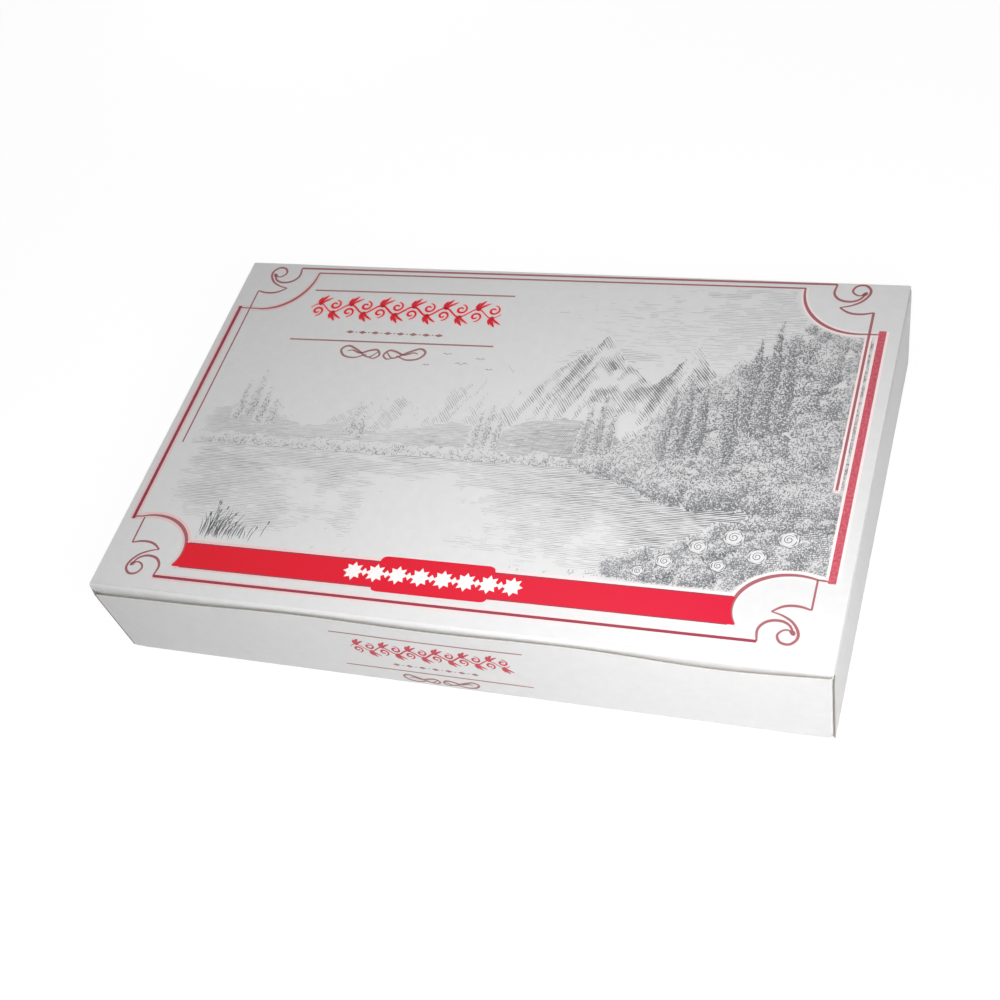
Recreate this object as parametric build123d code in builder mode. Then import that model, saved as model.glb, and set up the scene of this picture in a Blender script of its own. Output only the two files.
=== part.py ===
"""A flat gift carton for Turkish delight, folded from one sheet of coated boxboard.

The tray has rolled double side walls that lock into the base, with the corner flaps of the front and back
walls held between their plies. The lid hangs on the back wall's top crease and carries a tuck flap at the
front and an ear at each side. The sweets lie in rows on a paper liner.

Millimetres. The origin is under the middle of the base, +Z is up and the front wall faces -Y.
"""

from build123d import *
from math import asin, cos, degrees, radians, sin, tan
import os

os.makedirs("parts", exist_ok=True)

# The carton's outside
carton_length = 270.0  # left to right
carton_depth = 170.0  # front to back
carton_height = 38.0  # underside to the top of the lid

# The board and its creases
board = 0.5  # thickness of the boxboard
crease_radius = 0.8  # outside of a right-angled crease
crease_land = 0.4  # flat board past a crease that stays with the crease's own piece
roll_radius = 0.6  # outside of the two creases along the top of a rolled wall
ply_slack = 0.1  # air between two plies of a rolled wall
fold_gap = 0.1  # air between two panels at a crease that turns
sliding_gap = 0.3  # air round whatever the lid carries into the tray

# The tray
front_drop = 2.5  # the front wall's free edge stands this far under the lid's top
lid_setback = 0.5  # the lid's front crease stands this far behind the front wall's face
lid_side_setback = 0.3  # the lid's side edges, behind the side walls' faces
side_wall_setback = 0.4  # the side walls' cut ends, behind the front and back faces
roll_setback = 1.4  # the rolled edge's ends, behind the same faces
corner_flap_reach = 48.0  # along the side wall, from the end of the corner crease
corner_flap_taper = 9.0  # cut off the upper free corner, so that it slides in
lock_tab_length = 26.0
lock_tab_spacing = 92.0  # between the middles of a wall's two tabs
lock_tab_recess = 0.1  # the tabs stop this far above the underside
slot_clearance = 0.15  # all round a lock tab

# The lid's flaps
lid_corner_radius = 1.5
tuck_depth = 22.0
tuck_shoulder = 1.2  # the tuck flap ends this far inside the ears' creases
tuck_taper = 3.5  # it narrows by this on each side towards its free edge
tuck_corner_radius = 9.0
flap_share = 1 / 3  # a flap opens by this share of the lid's angle
tuck_spare_lean = 2.0  # degrees of lean past what the swing needs
ear_depth = 18.0
ear_lean = 8.0  # degrees inwards, closed
ear_front_inset = 4.2  # behind the lid's front crease
ear_front_taper = 5.0
ear_hinge_inset = 10.0  # in front of the lid's hinge
ear_front_radius = 6.0
ear_rear_radius = 12.0
ear_slope_share = 0.8  # of the lid angle at which the ear stands upright

# The liner and the sweets
liner = 0.2
liner_rim_gap = 2.0  # under the tuck flap's free edge
lokum_rows = 6
lokum_per_row = 10
lokum_height = 21.0
lokum_gap = 1.5
lokum_edge = 1.6  # chamfer of a cut cube's edges
lokum_side_gap = 3.0  # beside the ears and behind the tuck flap

# Worked out from the sizes above
half_length = carton_length / 2
half_depth = carton_depth / 2
crease_rise = crease_radius + crease_land
corner_ply = half_length - board - ply_slack  # outer face of the corner flaps
inner_ply = corner_ply - board - ply_slack  # outer face of the inner side walls
tray_half_length = inner_ply - board  # inner face of the inner side walls
tray_half_depth = half_depth - board  # inner face of the front and back walls
lid_underside = carton_height - board
wall_top = lid_underside - fold_gap  # the lid lies on the rolled edges
lid_half_length = half_length - lid_side_setback
ear_hinge_x = tray_half_length - sliding_gap
lid_front = -half_depth + lid_setback
lid_back = half_depth - fold_gap
lid_reach = half_depth - lid_front  # from the hinge to the tuck flap's crease
tuck_lean = degrees(asin(tuck_depth * (0.5 + flap_share) / lid_reach)) + tuck_spare_lean
tuck_start = board * (1 + sin(radians(tuck_lean))) + fold_gap  # its board starts this far from its crease's axis
ear_start = (board + fold_gap) / cos(radians(180 * flap_share - ear_lean))  # clear of the lid when fully open


def folded_section(*corners, radius):
    """The face of a board that is bent at the given corners of its outer side, with the inside on the left."""
    with BuildLine() as bend:
        FilletPolyline(*corners, radius=radius)
        offset(amount=board, side=Side.LEFT)
    make_face(bend.edges())


# Base of the tray, with the lower creases and the slots for the lock tabs
lock_slot_x = tray_half_length + board / 2
with BuildPart() as bottom_panel:
    with BuildSketch(Plane.YZ):
        folded_section(
            (-half_depth, crease_rise), (-half_depth, 0), (half_depth, 0), (half_depth, crease_rise),
            radius=crease_radius,
        )
    extrude(amount=corner_ply - crease_radius, both=True)
    with BuildSketch(Plane.XZ):
        folded_section(
            (-half_length, crease_rise), (-half_length, 0), (half_length, 0), (half_length, crease_rise),
            radius=crease_radius,
        )
    extrude(amount=half_depth - crease_radius, both=True)
    with BuildSketch():
        with GridLocations(2 * lock_slot_x, lock_tab_spacing, 2, 2):
            Rectangle(board + 2 * slot_clearance, lock_tab_length + 2 * slot_clearance)
    extrude(amount=board, mode=Mode.SUBTRACT)
bottom_panel.part.label = "bottom_panel"
export_step(bottom_panel.part, "parts/bottom_panel.step")

# Front and back walls, each with the two upright creases that turn into its corner flaps
front_wall_top = carton_height - front_drop
corner_crease_end = half_depth - crease_rise
with BuildPart() as front_wall:
    with BuildSketch(Plane.XY.offset(crease_rise)):
        folded_section(
            (-corner_ply, -corner_crease_end), (-corner_ply, -half_depth),
            (corner_ply, -half_depth), (corner_ply, -corner_crease_end),
            radius=crease_radius,
        )
    extrude(amount=front_wall_top - crease_rise)
front_wall.part.label = "front_wall"
export_step(front_wall.part, "parts/front_wall.step")

with BuildPart() as back_wall:
    with BuildSketch(Plane.XY.offset(crease_rise)):
        folded_section(
            (corner_ply, corner_crease_end), (corner_ply, half_depth),
            (-corner_ply, half_depth), (-corner_ply, corner_crease_end),
            radius=crease_radius,
        )
    extrude(amount=wall_top - crease_rise)
back_wall.part.label = "back_wall"
export_step(back_wall.part, "parts/back_wall.step")

# Outer side walls, each with the rolled edge that carries the board over the corner flaps
roll_land = roll_radius + crease_land
for name, turned in (("right_outer_wall", False), ("left_outer_wall", True)):
    with BuildPart() as outer_wall:
        with BuildSketch(Plane.XZ):
            folded_section(
                (half_length, crease_rise), (half_length, wall_top),
                (tray_half_length, wall_top), (tray_half_length, wall_top - roll_land),
                radius=roll_radius,
            )
        extrude(amount=half_depth - side_wall_setback, both=True)
        roll_end_length = roll_setback - side_wall_setback
        with BuildSketch(Plane.YZ):
            with Locations((0, wall_top)):
                with GridLocations(2 * (half_depth - roll_setback) + roll_end_length, 0, 2, 1):
                    Rectangle(roll_end_length, 2 * roll_land)
        extrude(amount=half_length, mode=Mode.SUBTRACT)
        if turned:
            mirror(about=Plane.YZ, mode=Mode.REPLACE)
    outer_wall.part.label = name
    export_step(outer_wall.part, f"parts/{name}.step")

# Inner side walls, which hang from the rolled edge and lock into the base
inner_wall_foot = board + fold_gap
inner_wall_top = wall_top - roll_land
for name, turned in (("right_inner_wall", False), ("left_inner_wall", True)):
    with BuildPart() as inner_wall:
        with BuildSketch(Plane.YZ.offset(tray_half_length)):
            with Locations((0, (inner_wall_foot + inner_wall_top) / 2)):
                Rectangle(2 * (tray_half_depth - sliding_gap), inner_wall_top - inner_wall_foot)
            with BuildSketch(Plane.XY, mode=Mode.PRIVATE) as lock_tab:
                Rectangle(lock_tab_length, 2 * (inner_wall_foot - lock_tab_recess))
            with Locations((0, inner_wall_foot)):
                with GridLocations(lock_tab_spacing, 0, 2, 1):
                    add(lock_tab.sketch)
        extrude(amount=board)
        if turned:
            mirror(about=Plane.YZ, mode=Mode.REPLACE)
    inner_wall.part.label = name
    export_step(inner_wall.part, f"parts/{name}.step")

# Corner flaps, one at each end of the front and back walls, between the plies of the side walls
corner_flap_top = min(front_wall_top, wall_top - board - sliding_gap)
for end_name, at_back in (("front", False), ("back", True)):
    for side_name, at_left in (("right", False), ("left", True)):
        name = f"{end_name}_{side_name}_corner_flap"
        with BuildPart() as corner_flap:
            with BuildSketch(Plane.YZ.offset(corner_ply - board)):
                with BuildLine():
                    Polyline(
                        (-corner_crease_end, crease_rise),
                        (-corner_crease_end + corner_flap_reach, crease_rise),
                        (-corner_crease_end + corner_flap_reach, corner_flap_top - corner_flap_taper),
                        (-corner_crease_end + corner_flap_reach - corner_flap_taper, corner_flap_top),
                        (-corner_crease_end, corner_flap_top),
                        close=True,
                    )
                make_face()
            extrude(amount=board)
            if at_back:
                mirror(about=Plane.XZ, mode=Mode.REPLACE)
            if at_left:
                mirror(about=Plane.YZ, mode=Mode.REPLACE)
        corner_flap.part.label = name
        export_step(corner_flap.part, f"parts/{name}.step")

# Lid panel, which lies on the rolled edges
with BuildPart() as lid_panel:
    with BuildSketch(Plane.XY.offset(lid_underside)):
        with Locations((0, (lid_front + lid_back) / 2)):
            RectangleRounded(2 * lid_half_length, lid_back - lid_front, lid_corner_radius)
    extrude(amount=board)
    fillet(lid_panel.edges().group_by(Axis.Z)[-1], radius=board / 2)
lid_panel.part.label = "lid_panel"
export_step(lid_panel.part, "parts/lid_panel.step")

# Tuck flap on the lid's front crease. Its plane leans in, so that the swing carries it past the front wall
tuck_half_width = ear_hinge_x - tuck_shoulder
tuck_plane = Plane(
    origin=(0, lid_front, carton_height),
    x_dir=(1, 0, 0),
    z_dir=(0, -cos(radians(tuck_lean)), -sin(radians(tuck_lean))),
)
with BuildPart() as tuck_flap:
    with BuildSketch(tuck_plane):
        with BuildLine():
            Polyline(
                (-tuck_half_width, -tuck_start),
                (-tuck_half_width + tuck_taper, -tuck_depth),
                (tuck_half_width - tuck_taper, -tuck_depth),
                (tuck_half_width, -tuck_start),
                close=True,
            )
        make_face()
    extrude(amount=-board)
    free_corners = tuck_flap.edges().filter_by(lambda edge: abs(edge.length - board) < 0.01)
    fillet(free_corners.group_by(Axis.Z)[0], radius=tuck_corner_radius)
tuck_flap.part.label = "tuck_flap"
export_step(tuck_flap.part, "parts/tuck_flap.step")

# Ears under the lid's sides. Their rear edges rise towards the hinge, so that they lift out before they spread
ear_plane = Plane(
    origin=(ear_hinge_x, 0, carton_height),
    x_dir=(0, 1, 0),
    z_dir=(cos(radians(ear_lean)), 0, -sin(radians(ear_lean))),
)
ear_front = lid_front + ear_front_inset
ear_back = half_depth - ear_hinge_inset
ear_slope = radians(ear_slope_share * ear_lean / flap_share)
ear_rear_run = (ear_depth - ear_start) / tan(ear_slope)
for name, turned in (("right_ear", False), ("left_ear", True)):
    with BuildPart() as ear:
        with BuildSketch(ear_plane):
            with BuildLine():
                Polyline(
                    (ear_front, -ear_start),
                    (ear_front + ear_front_taper, -ear_depth),
                    (ear_back - ear_rear_run, -ear_depth),
                    (ear_back, -ear_start),
                    close=True,
                )
            make_face()
        extrude(amount=-board)
        free_corners = ear.edges().filter_by(lambda edge: abs(edge.length - board) < 0.01).group_by(Axis.Z)[0]
        fillet(free_corners.sort_by(Axis.Y)[0], radius=ear_front_radius)
        upright = ear.edges().filter_by(lambda edge: abs(edge.length - board) < 0.01).group_by(Axis.Z)[0]
        fillet(upright.sort_by(Axis.Y)[-1], radius=ear_rear_radius)
        if turned:
            mirror(about=Plane.YZ, mode=Mode.REPLACE)
    ear.part.label = name
    export_step(ear.part, f"parts/{name}.step")

# Paper liner, a shallow tray of greaseproof paper on the base
liner_half_length = tray_half_length - sliding_gap
liner_half_depth = tray_half_depth - sliding_gap
liner_rim = carton_height - tuck_depth - liner_rim_gap
with BuildPart() as paper_liner:
    with BuildSketch(Plane.XY.offset(board)):
        Rectangle(2 * liner_half_length, 2 * liner_half_depth)
    extrude(amount=liner_rim - board)
    offset(amount=-liner, openings=paper_liner.faces().sort_by(Axis.Z)[-1])
paper_liner.part.label = "paper_liner"
export_step(paper_liner.part, "parts/paper_liner.step")

# Sweets: cut cubes that fill the room between the ears and behind the tuck flap
lokum_left = -ear_hinge_x + ear_depth * sin(radians(ear_lean)) + board + lokum_side_gap
lokum_front = lid_front + tuck_depth * sin(radians(tuck_lean)) + board + lokum_side_gap
lokum_back = liner_half_depth - liner - lokum_side_gap
lokum_length = (-2 * lokum_left - (lokum_per_row - 1) * lokum_gap) / lokum_per_row
lokum_width = (lokum_back - lokum_front - (lokum_rows - 1) * lokum_gap) / lokum_rows
with BuildPart() as lokum_cube:
    Box(lokum_length, lokum_width, lokum_height, align=(Align.CENTER, Align.CENTER, Align.MIN))
    chamfer(lokum_cube.edges(), length=lokum_edge)

for row in range(lokum_rows):
    name = f"lokum_row_{row + 1}"
    row_y = lokum_front + lokum_width / 2 + row * (lokum_width + lokum_gap)
    with BuildPart() as lokum_row:
        with Locations((0, row_y, board + liner)):
            with GridLocations(lokum_length + lokum_gap, 0, lokum_per_row, 1):
                add(lokum_cube.part)
    lokum_row.part.label = name
    export_step(lokum_row.part, f"parts/{name}.step")

print(f"tuck flap leans {tuck_lean:.2f} degrees; a cube is {lokum_length:.1f} x {lokum_width:.1f} x {lokum_height:.1f}")
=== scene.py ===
"""A flat gift carton of Turkish delight: coated boxboard printed in red and grey, with sweets inside.

Blender's own units are metres. Sizes written here are millimetres, turned to metres as points are placed.
The origin is under the middle of the base, +Z is up and the front wall faces -Y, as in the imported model.
"""

import math

import bpy
import numpy as np
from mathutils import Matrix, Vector


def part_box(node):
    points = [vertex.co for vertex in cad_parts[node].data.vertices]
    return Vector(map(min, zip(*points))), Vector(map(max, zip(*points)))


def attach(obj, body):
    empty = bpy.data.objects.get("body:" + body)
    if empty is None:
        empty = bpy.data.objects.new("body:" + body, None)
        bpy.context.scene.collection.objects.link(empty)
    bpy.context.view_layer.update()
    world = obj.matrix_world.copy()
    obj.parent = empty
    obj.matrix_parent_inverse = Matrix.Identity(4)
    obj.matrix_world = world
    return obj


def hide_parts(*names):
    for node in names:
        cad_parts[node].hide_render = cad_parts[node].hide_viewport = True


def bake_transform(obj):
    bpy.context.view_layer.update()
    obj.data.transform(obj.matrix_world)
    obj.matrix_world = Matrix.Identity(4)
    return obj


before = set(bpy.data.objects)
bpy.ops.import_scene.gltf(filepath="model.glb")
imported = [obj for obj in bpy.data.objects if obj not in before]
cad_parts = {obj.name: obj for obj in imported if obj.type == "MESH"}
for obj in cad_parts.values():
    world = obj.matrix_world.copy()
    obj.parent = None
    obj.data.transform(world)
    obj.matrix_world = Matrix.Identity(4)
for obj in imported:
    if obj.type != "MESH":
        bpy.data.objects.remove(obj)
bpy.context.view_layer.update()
scene = bpy.context.scene
MM = 0.001


# ---------------------------------------- sizes read from the frame, in millimetres

def box_mm(node):
    """A node's lowest and highest corners."""
    low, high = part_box(node)
    return np.array(low) / MM, np.array(high) / MM


LID_LOW, LID_HIGH = box_mm("lid_panel")
FRONT_LOW, FRONT_HIGH = box_mm("front_wall")
BACK_HIGH = box_mm("back_wall")[1]
SIDE_HIGH = box_mm("right_outer_wall")[1]
PLY_LOW, PLY_HIGH = box_mm("right_inner_wall")
EAR_LOW, EAR_HIGH = box_mm("right_ear")
TUCK_LOW, TUCK_HIGH = box_mm("tuck_flap")
LINER_LOW, LINER_HIGH = box_mm("paper_liner")

TOP = LID_HIGH[2]
BOARD = LID_HIGH[2] - LID_LOW[2]
HALF_LENGTH = SIDE_HIGH[0]
HALF_DEPTH = BACK_HIGH[1]

# Creases, as the frame has them
CREASE_RADIUS = 0.8  # along the walls' upright and lower creases
ROLL_RADIUS = 0.6  # along the top of a rolled side wall
ROLL_SETBACK = 1.4  # the rolled edge's ends, behind the front and back faces
LID_COLUMNS = 69  # of points across the lid and its front crease, which share that edge
EAR_CREASE = 133.0  # the ears hang under the lid's sides here
FRONT_FACE = FRONT_LOW[1] - 0.04  # of the front board, just proud of the corner flaps' creases
TUCK_FACE = FRONT_LOW[1] + BOARD + 0.35  # the tuck flap's top, a hair behind the front wall
TUCK_ROUNDING = 1.6  # of the lid's front crease
FOOT = 0.3  # the walls' boards reach down over the lower creases to this height
TUCK_BEND = 5.0  # below the lid's top, where the tuck flap starts to lean inwards
TUCK_TAPER = 3.5  # at each end of the flap, from its crease to its free edge
TUCK_CORNER = 9.0  # radius of its free corners
EAR_LEAN = math.radians(8.0)
LOCK_TAB = 26.0
LOCK_TAB_SPACING = 92.0


# ---------------------------------------- small tools

def colour(hex_code):
    """An sRGB hex code as linear RGBA."""
    parts = [int(hex_code[i : i + 2], 16) / 255 for i in (1, 3, 5)]
    return tuple(c / 12.92 if c <= 0.04045 else ((c + 0.055) / 1.055) ** 2.4 for c in parts) + (1.0,)


def add_node(tree, kind, inputs=None, **settings):
    """A node with its settings, and its inputs as values or as sockets to link from."""
    node = tree.nodes.new(kind)
    for name, value in settings.items():
        setattr(node, name, value)
    for key, value in (inputs or {}).items():
        if isinstance(value, bpy.types.NodeSocket):
            tree.links.new(value, node.inputs[key])
        else:
            node.inputs[key].default_value = value
    return node


def mesh_object(name, points, quads, materials, kinds=None, flat_kinds=()):
    """A finished piece at the origin, from points in metres and rows of four corners."""
    points, quads = np.asarray(points, np.float32), np.asarray(quads, np.int32)
    mesh = bpy.data.meshes.new(name)
    mesh.vertices.add(len(points))
    mesh.vertices.foreach_set("co", points.ravel())
    mesh.loops.add(quads.size)
    mesh.loops.foreach_set("vertex_index", quads.ravel())
    mesh.polygons.add(len(quads))
    mesh.polygons.foreach_set("loop_start", np.arange(0, quads.size, 4, dtype=np.int32))
    for material in materials:
        mesh.materials.append(material)
    kinds = np.zeros(len(quads), np.int32) if kinds is None else np.asarray(kinds, np.int32)
    mesh.polygons.foreach_set("material_index", kinds)
    mesh.polygons.foreach_set("use_smooth", ~np.isin(kinds, flat_kinds))
    mesh.update(calc_edges=True)
    mesh.validate()
    piece = bpy.data.objects.new(name, mesh)
    scene.collection.objects.link(piece)
    return piece


def grid_quads(rows, columns, first=0):
    """The quads of a grid of points, row by row."""
    start = first + (np.arange(rows - 1)[:, None] * columns + np.arange(columns - 1)).ravel()
    return np.stack([start, start + 1, start + columns + 1, start + columns], 1)


def spaced(low, high, size):
    """Even values from low to high, about size apart."""
    return np.linspace(low, high, max(2, int(round(abs(high - low) / size)) + 1))


# ---------------------------------------- materials

def surface_material(name, build):
    """A material whose surface is the shader that build(tree) returns."""
    material = bpy.data.materials.new(name)
    material.use_nodes = True
    tree = material.node_tree
    tree.nodes.clear()
    output = tree.nodes.new("ShaderNodeOutputMaterial")
    tree.links.new(build(tree), output.inputs["Surface"])
    return material


def mottled(tree, base, patch, amount, detail=4.0):
    """The base colour, a little lighter and darker in soft patches, patch millimetres wide."""
    place = add_node(tree, "ShaderNodeTexCoord").outputs["Object"]
    patches = {"Vector": place, "Scale": 1 / (patch * MM), "Detail": detail}
    share = add_node(tree, "ShaderNodeTexNoise", patches).outputs["Fac"]
    limits = {"Value": share, "From Min": 0.3, "From Max": 0.7, "To Min": 1 - amount, "To Max": 1 + amount}
    shade = add_node(tree, "ShaderNodeMapRange", limits).outputs["Result"]
    return add_node(tree, "ShaderNodeHueSaturation", {"Color": colour(base), "Value": shade}).outputs["Color"]


def fibre_relief(tree, spacing, depth):
    """The relief of paper fibres or of grit, spacing and depth in millimetres. Single fibres, 0.03 mm wide,
    are too fine to show, so they are drawn as coarse as the clumps that they lie in."""
    place = add_node(tree, "ShaderNodeTexCoord").outputs["Object"]
    fibres = {"Vector": place, "Scale": 1 / (spacing * MM), "Detail": 5.0, "Roughness": 0.65}
    height = add_node(tree, "ShaderNodeTexNoise", fibres).outputs["Fac"]
    relief = {"Height": height, "Distance": depth * MM, "Strength": 1.0}
    return add_node(tree, "ShaderNodeBump", relief).outputs["Normal"]


COATED_COLOUR = "#DBDADA"
REVERSE_COLOUR = "#C6C0B4"


def clay_coated(tree, base, roughness=0.4, ior=1.5):
    """The finish of the clay coating and of each film on it: a broad satin sheen and almost no texture."""
    relief = fibre_relief(tree, 0.7, 0.012)
    values = {"Base Color": base, "Roughness": roughness, "IOR": ior, "Normal": relief}
    return add_node(tree, "ShaderNodeBsdfPrincipled", values).outputs["BSDF"]


def coated_colour(tree):
    """The bare coating: pale pearly grey, very nearly even."""
    return mottled(tree, COATED_COLOUR, 3.333, 0.02)


def coated_shader(tree):
    """Clay-coated and lacquered boxboard."""
    return clay_coated(tree, coated_colour(tree))


def reverse_shader(tree):
    """Uncoated duplex board: warm grey and matt, with flecks of recycled fibre."""
    values = {
        "Base Color": mottled(tree, REVERSE_COLOUR, 1.4286, 0.06, 8.0),
        "Roughness": 0.88,
        "Normal": fibre_relief(tree, 0.9, 0.03),
    }
    return add_node(tree, "ShaderNodeBsdfPrincipled", values).outputs["BSDF"]


def cut_edge_and_gap_shade_shader(tree):
    """The board's grey middle layers of recycled fibre, bared by the cutting rule. The grey is also deeper
    than the core's own, as painted shade for the dark gaps along the lid's front crease and at the front
    wall's ends.
    """
    values = {
        # Partly painted shade: the core's grey, darkened so that the cut edges show as the shadowed gaps at
        # the creases and corners
        "Base Color": mottled(tree, "#8F8B85", 0.4, 0.12, 3.0),
        "Roughness": 0.9,
        "Normal": fibre_relief(tree, 0.25, 0.04),
    }
    return add_node(tree, "ShaderNodeBsdfPrincipled", values).outputs["BSDF"]


def two_sided_shader(tree):
    """Coated on the faces that look away from the carton's middle, uncoated on those that look towards it."""
    coordinates = add_node(tree, "ShaderNodeTexCoord").outputs
    from_middle = {0: coordinates["Object"], 1: (0.0, 0.0, TOP * MM / 2)}
    away = add_node(tree, "ShaderNodeVectorMath", from_middle, operation="SUBTRACT").outputs["Vector"]
    facing = {0: away, 1: coordinates["Normal"]}
    outwards = add_node(tree, "ShaderNodeVectorMath", facing, operation="DOT_PRODUCT").outputs["Value"]
    is_outside = add_node(tree, "ShaderNodeMath", {0: outwards, 1: 0.0}, operation="GREATER_THAN")
    sides = {"Fac": is_outside.outputs["Value"], 1: reverse_shader(tree), 2: coated_shader(tree)}
    return add_node(tree, "ShaderNodeMixShader", sides).outputs["Shader"]


INK_IOR = 1.36  # a dry, thin film, less glossy than the lacquer
FADE_START, FADE_END = -0.10, 0.12  # metres along the lid


def ink_material(name, base, unevenness=0.05, far_end=None):
    """Offset ink on the coated board: a thin film that takes its relief, with a little mottle in the solids.
    A far end's colour is the ink's at the lid's right side, where it was laid on thinner."""

    def build(tree):
        ink = mottled(tree, base, 0.9091, unevenness, 6.0)
        if far_end:
            place = add_node(tree, "ShaderNodeTexCoord").outputs["Object"]
            along = add_node(tree, "ShaderNodeSeparateXYZ", {"Vector": place}).outputs["X"]
            limits = {"Value": along, "From Min": FADE_START, "From Max": FADE_END}
            share = add_node(tree, "ShaderNodeMapRange", limits).outputs["Result"]
            ends = {0: share, 6: ink, 7: colour(far_end)}
            ink = add_node(tree, "ShaderNodeMix", ends, data_type="RGBA").outputs[2]
        return clay_coated(tree, ink, roughness=0.36, ior=INK_IOR)

    return surface_material(name, build)


def tint_shader(tree):
    """A thin grey halftone wash over the coated board, as deep as the film's tint attribute says.
    The screen's dots, 0.2 mm apart, are too fine to show, so they are drawn as patches about 1 mm wide."""
    share = add_node(tree, "ShaderNodeAttribute", attribute_name="tint").outputs["Fac"]
    washed = {0: share, 6: coated_colour(tree), 7: colour("#8C8D8F")}
    return clay_coated(tree, add_node(tree, "ShaderNodeMix", washed, data_type="RGBA").outputs[2])


COATED = surface_material("coated_boxboard", coated_shader)
REVERSE = surface_material("boxboard_reverse", reverse_shader)
# The cut edges' material carries painted shade for the gaps beside them, on top of the grey of the board's
# core
CUT_EDGE = surface_material("boxboard_cut_edge_and_gap_shade", cut_edge_and_gap_shade_shader)
TWO_SIDED = surface_material("boxboard_coated_one_side", two_sided_shader)
BOARD_FACES = [COATED, REVERSE, CUT_EDGE]
RED_INK = ink_material("red_offset_ink", "#DE0A24", far_end="#CB1738")
FRONT_RED_INK = ink_material("thin_red_offset_ink", "#C43C4A")
LINE_INK = ink_material("dark_red_line_ink", "#93364A")
SCROLL_INK = ink_material("dull_rose_line_ink", "#A25F66")
ROSE_INK = ink_material("rose_brown_line_ink", "#9E6E6C")
TINT_INK = surface_material("grey_halftone_wash", tint_shader)
GREY_INK = ink_material("grey_engraving_ink", "#77797C")
LEAF_INK = ink_material("thin_grey_engraving_ink", "#8B8D90")
BAR_INK = ink_material("deep_red_bar_ink", "#8F2B44", unevenness=0.3)
ROSE_BAR_INK = ink_material("thin_rose_bar_ink", "#C25765", unevenness=0.3)
KEY_INK = ink_material("pale_pink_key_line", "#EBC6C4", far_end="#F6E4E3")
WHITE_INK = ink_material("bare_board_in_the_band", "#F4F1F0")


# ---------------------------------------- how the printed board lies

LID_CAMBER = 0.35
FRONT_DROOP = 0.25  # of the lid's front edge in its middle


def front_drop(x):
    """How far the front wall's free edge stands under the lid's top: slow waves, taller to the right."""
    along = x + HALF_LENGTH
    mean = 2.35 + 0.5 * ((along - 145) / 100) ** 2
    height = 0.55 + 0.7 * ((along - 110) / 120) ** 2
    return mean + height * np.cos(2 * np.pi * (np.maximum(along, 37) - 37) / 96)


def settle_lid(points):
    """Flat lid points as the lid lies: slightly crowned, its front edge drooping and a little waved."""
    p = np.array(points, float)
    x, y = p[..., 0], p[..., 1]
    near_front = np.exp(-np.maximum(y - LID_LOW[1], 0) / 9.0)
    across = np.clip(1 - (x / HALF_LENGTH) ** 2, 0, 1)
    middle = (LID_LOW[1] + LID_HIGH[1]) / 2
    along = np.clip(1 - ((y - middle) / (LID_HIGH[1] - middle)) ** 2, 0, 1)
    droop = across * (FRONT_DROOP + 0.12 * np.sin(2 * np.pi * (x + 20) / 96))
    p[..., 2] += LID_CAMBER * across * along - droop * near_front
    return p


def settle_front(points):
    """Flat front-wall points as the wall stands: its foot straight, its free edge dipping in slow waves."""
    p = np.array(points, float)
    up = np.clip(p[..., 2] / FRONT_HIGH[2], 0, 1)
    ends = np.clip((HALF_LENGTH - 1 - np.abs(p[..., 0])) / 12.0, 0, 1)
    p[..., 1] -= 0.25 * np.sin(np.pi * up) * ends
    worn = np.clip((np.abs(p[..., 0]) - HALF_LENGTH + 3.4) / 2.6, 0, 1)
    p[..., 2] += 2.2 * (1 - np.sqrt(1 - worn**2)) * (1 - up) ** 4
    p[..., 2] -= (front_drop(p[..., 0]) - (TOP - FRONT_HIGH[2])) * up**3
    return p


def bowed(direction, depth):
    """A settling for a wall that bellies out a little between its edges."""

    def settle(points):
        p = np.array(points, float)
        up = np.clip((p[..., 2] - 1.5) / (TOP - 3.5), 0, 1)
        span = HALF_DEPTH if direction[0] else HALF_LENGTH
        along = np.clip(1 - (p[..., 1 if direction[0] else 0] / span) ** 2, 0, 1)
        ripple = 1 + 0.3 * np.sin(p[..., 1 if direction[0] else 0] / 23.0)
        outer = np.abs(p[..., 0]) > HALF_LENGTH - 0.8 if direction[0] else True
        p += (depth * np.sin(np.pi * up) * along * ripple * outer)[..., None] * np.array(direction)
        return p

    return settle


# ---------------------------------------- board pieces

def bent_path(corners, radius, size=6.0, arc_steps=5):
    """Points and outward normals along a board's coated face, bent at its inner corners.
    Outward is to the right of the way."""
    corners = [np.array(c, float) for c in corners]
    points, normals = [], []

    def add(point, direction):
        points.append(point)
        normals.append(np.array([direction[1], -direction[0]]))

    start = corners[0]
    for before, corner, after in zip(corners, corners[1:], corners[2:]):
        into, out = corner - before, after - corner
        into, out = into / np.linalg.norm(into), out / np.linalg.norm(out)
        turn = math.atan2(into[0] * out[1] - into[1] * out[0], into @ out)
        reach = radius * math.tan(abs(turn) / 2)
        bend = corner - into * reach
        if np.linalg.norm(bend - start) > 1e-6:
            for t in spaced(0, 1, size / np.linalg.norm(bend - start))[:-1]:
                add(start + (bend - start) * t, into)
        side = math.copysign(1, turn)
        centre = bend + side * radius * np.array([-into[1], into[0]])
        for t in np.linspace(0, turn, arc_steps + 1):
            heading = np.array(
                [into[0] * math.cos(t) - into[1] * math.sin(t), into[0] * math.sin(t) + into[1] * math.cos(t)]
            )
            add(centre + side * radius * np.array([heading[1], -heading[0]]), heading)
        start, last = corner + out * reach, out
    if np.linalg.norm(corners[-1] - start) > 1e-6:
        for t in spaced(0, 1, size / np.linalg.norm(corners[-1] - start))[1:]:
            add(start + (corners[-1] - start) * t, last)
    return np.array(points), np.array(normals)


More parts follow.
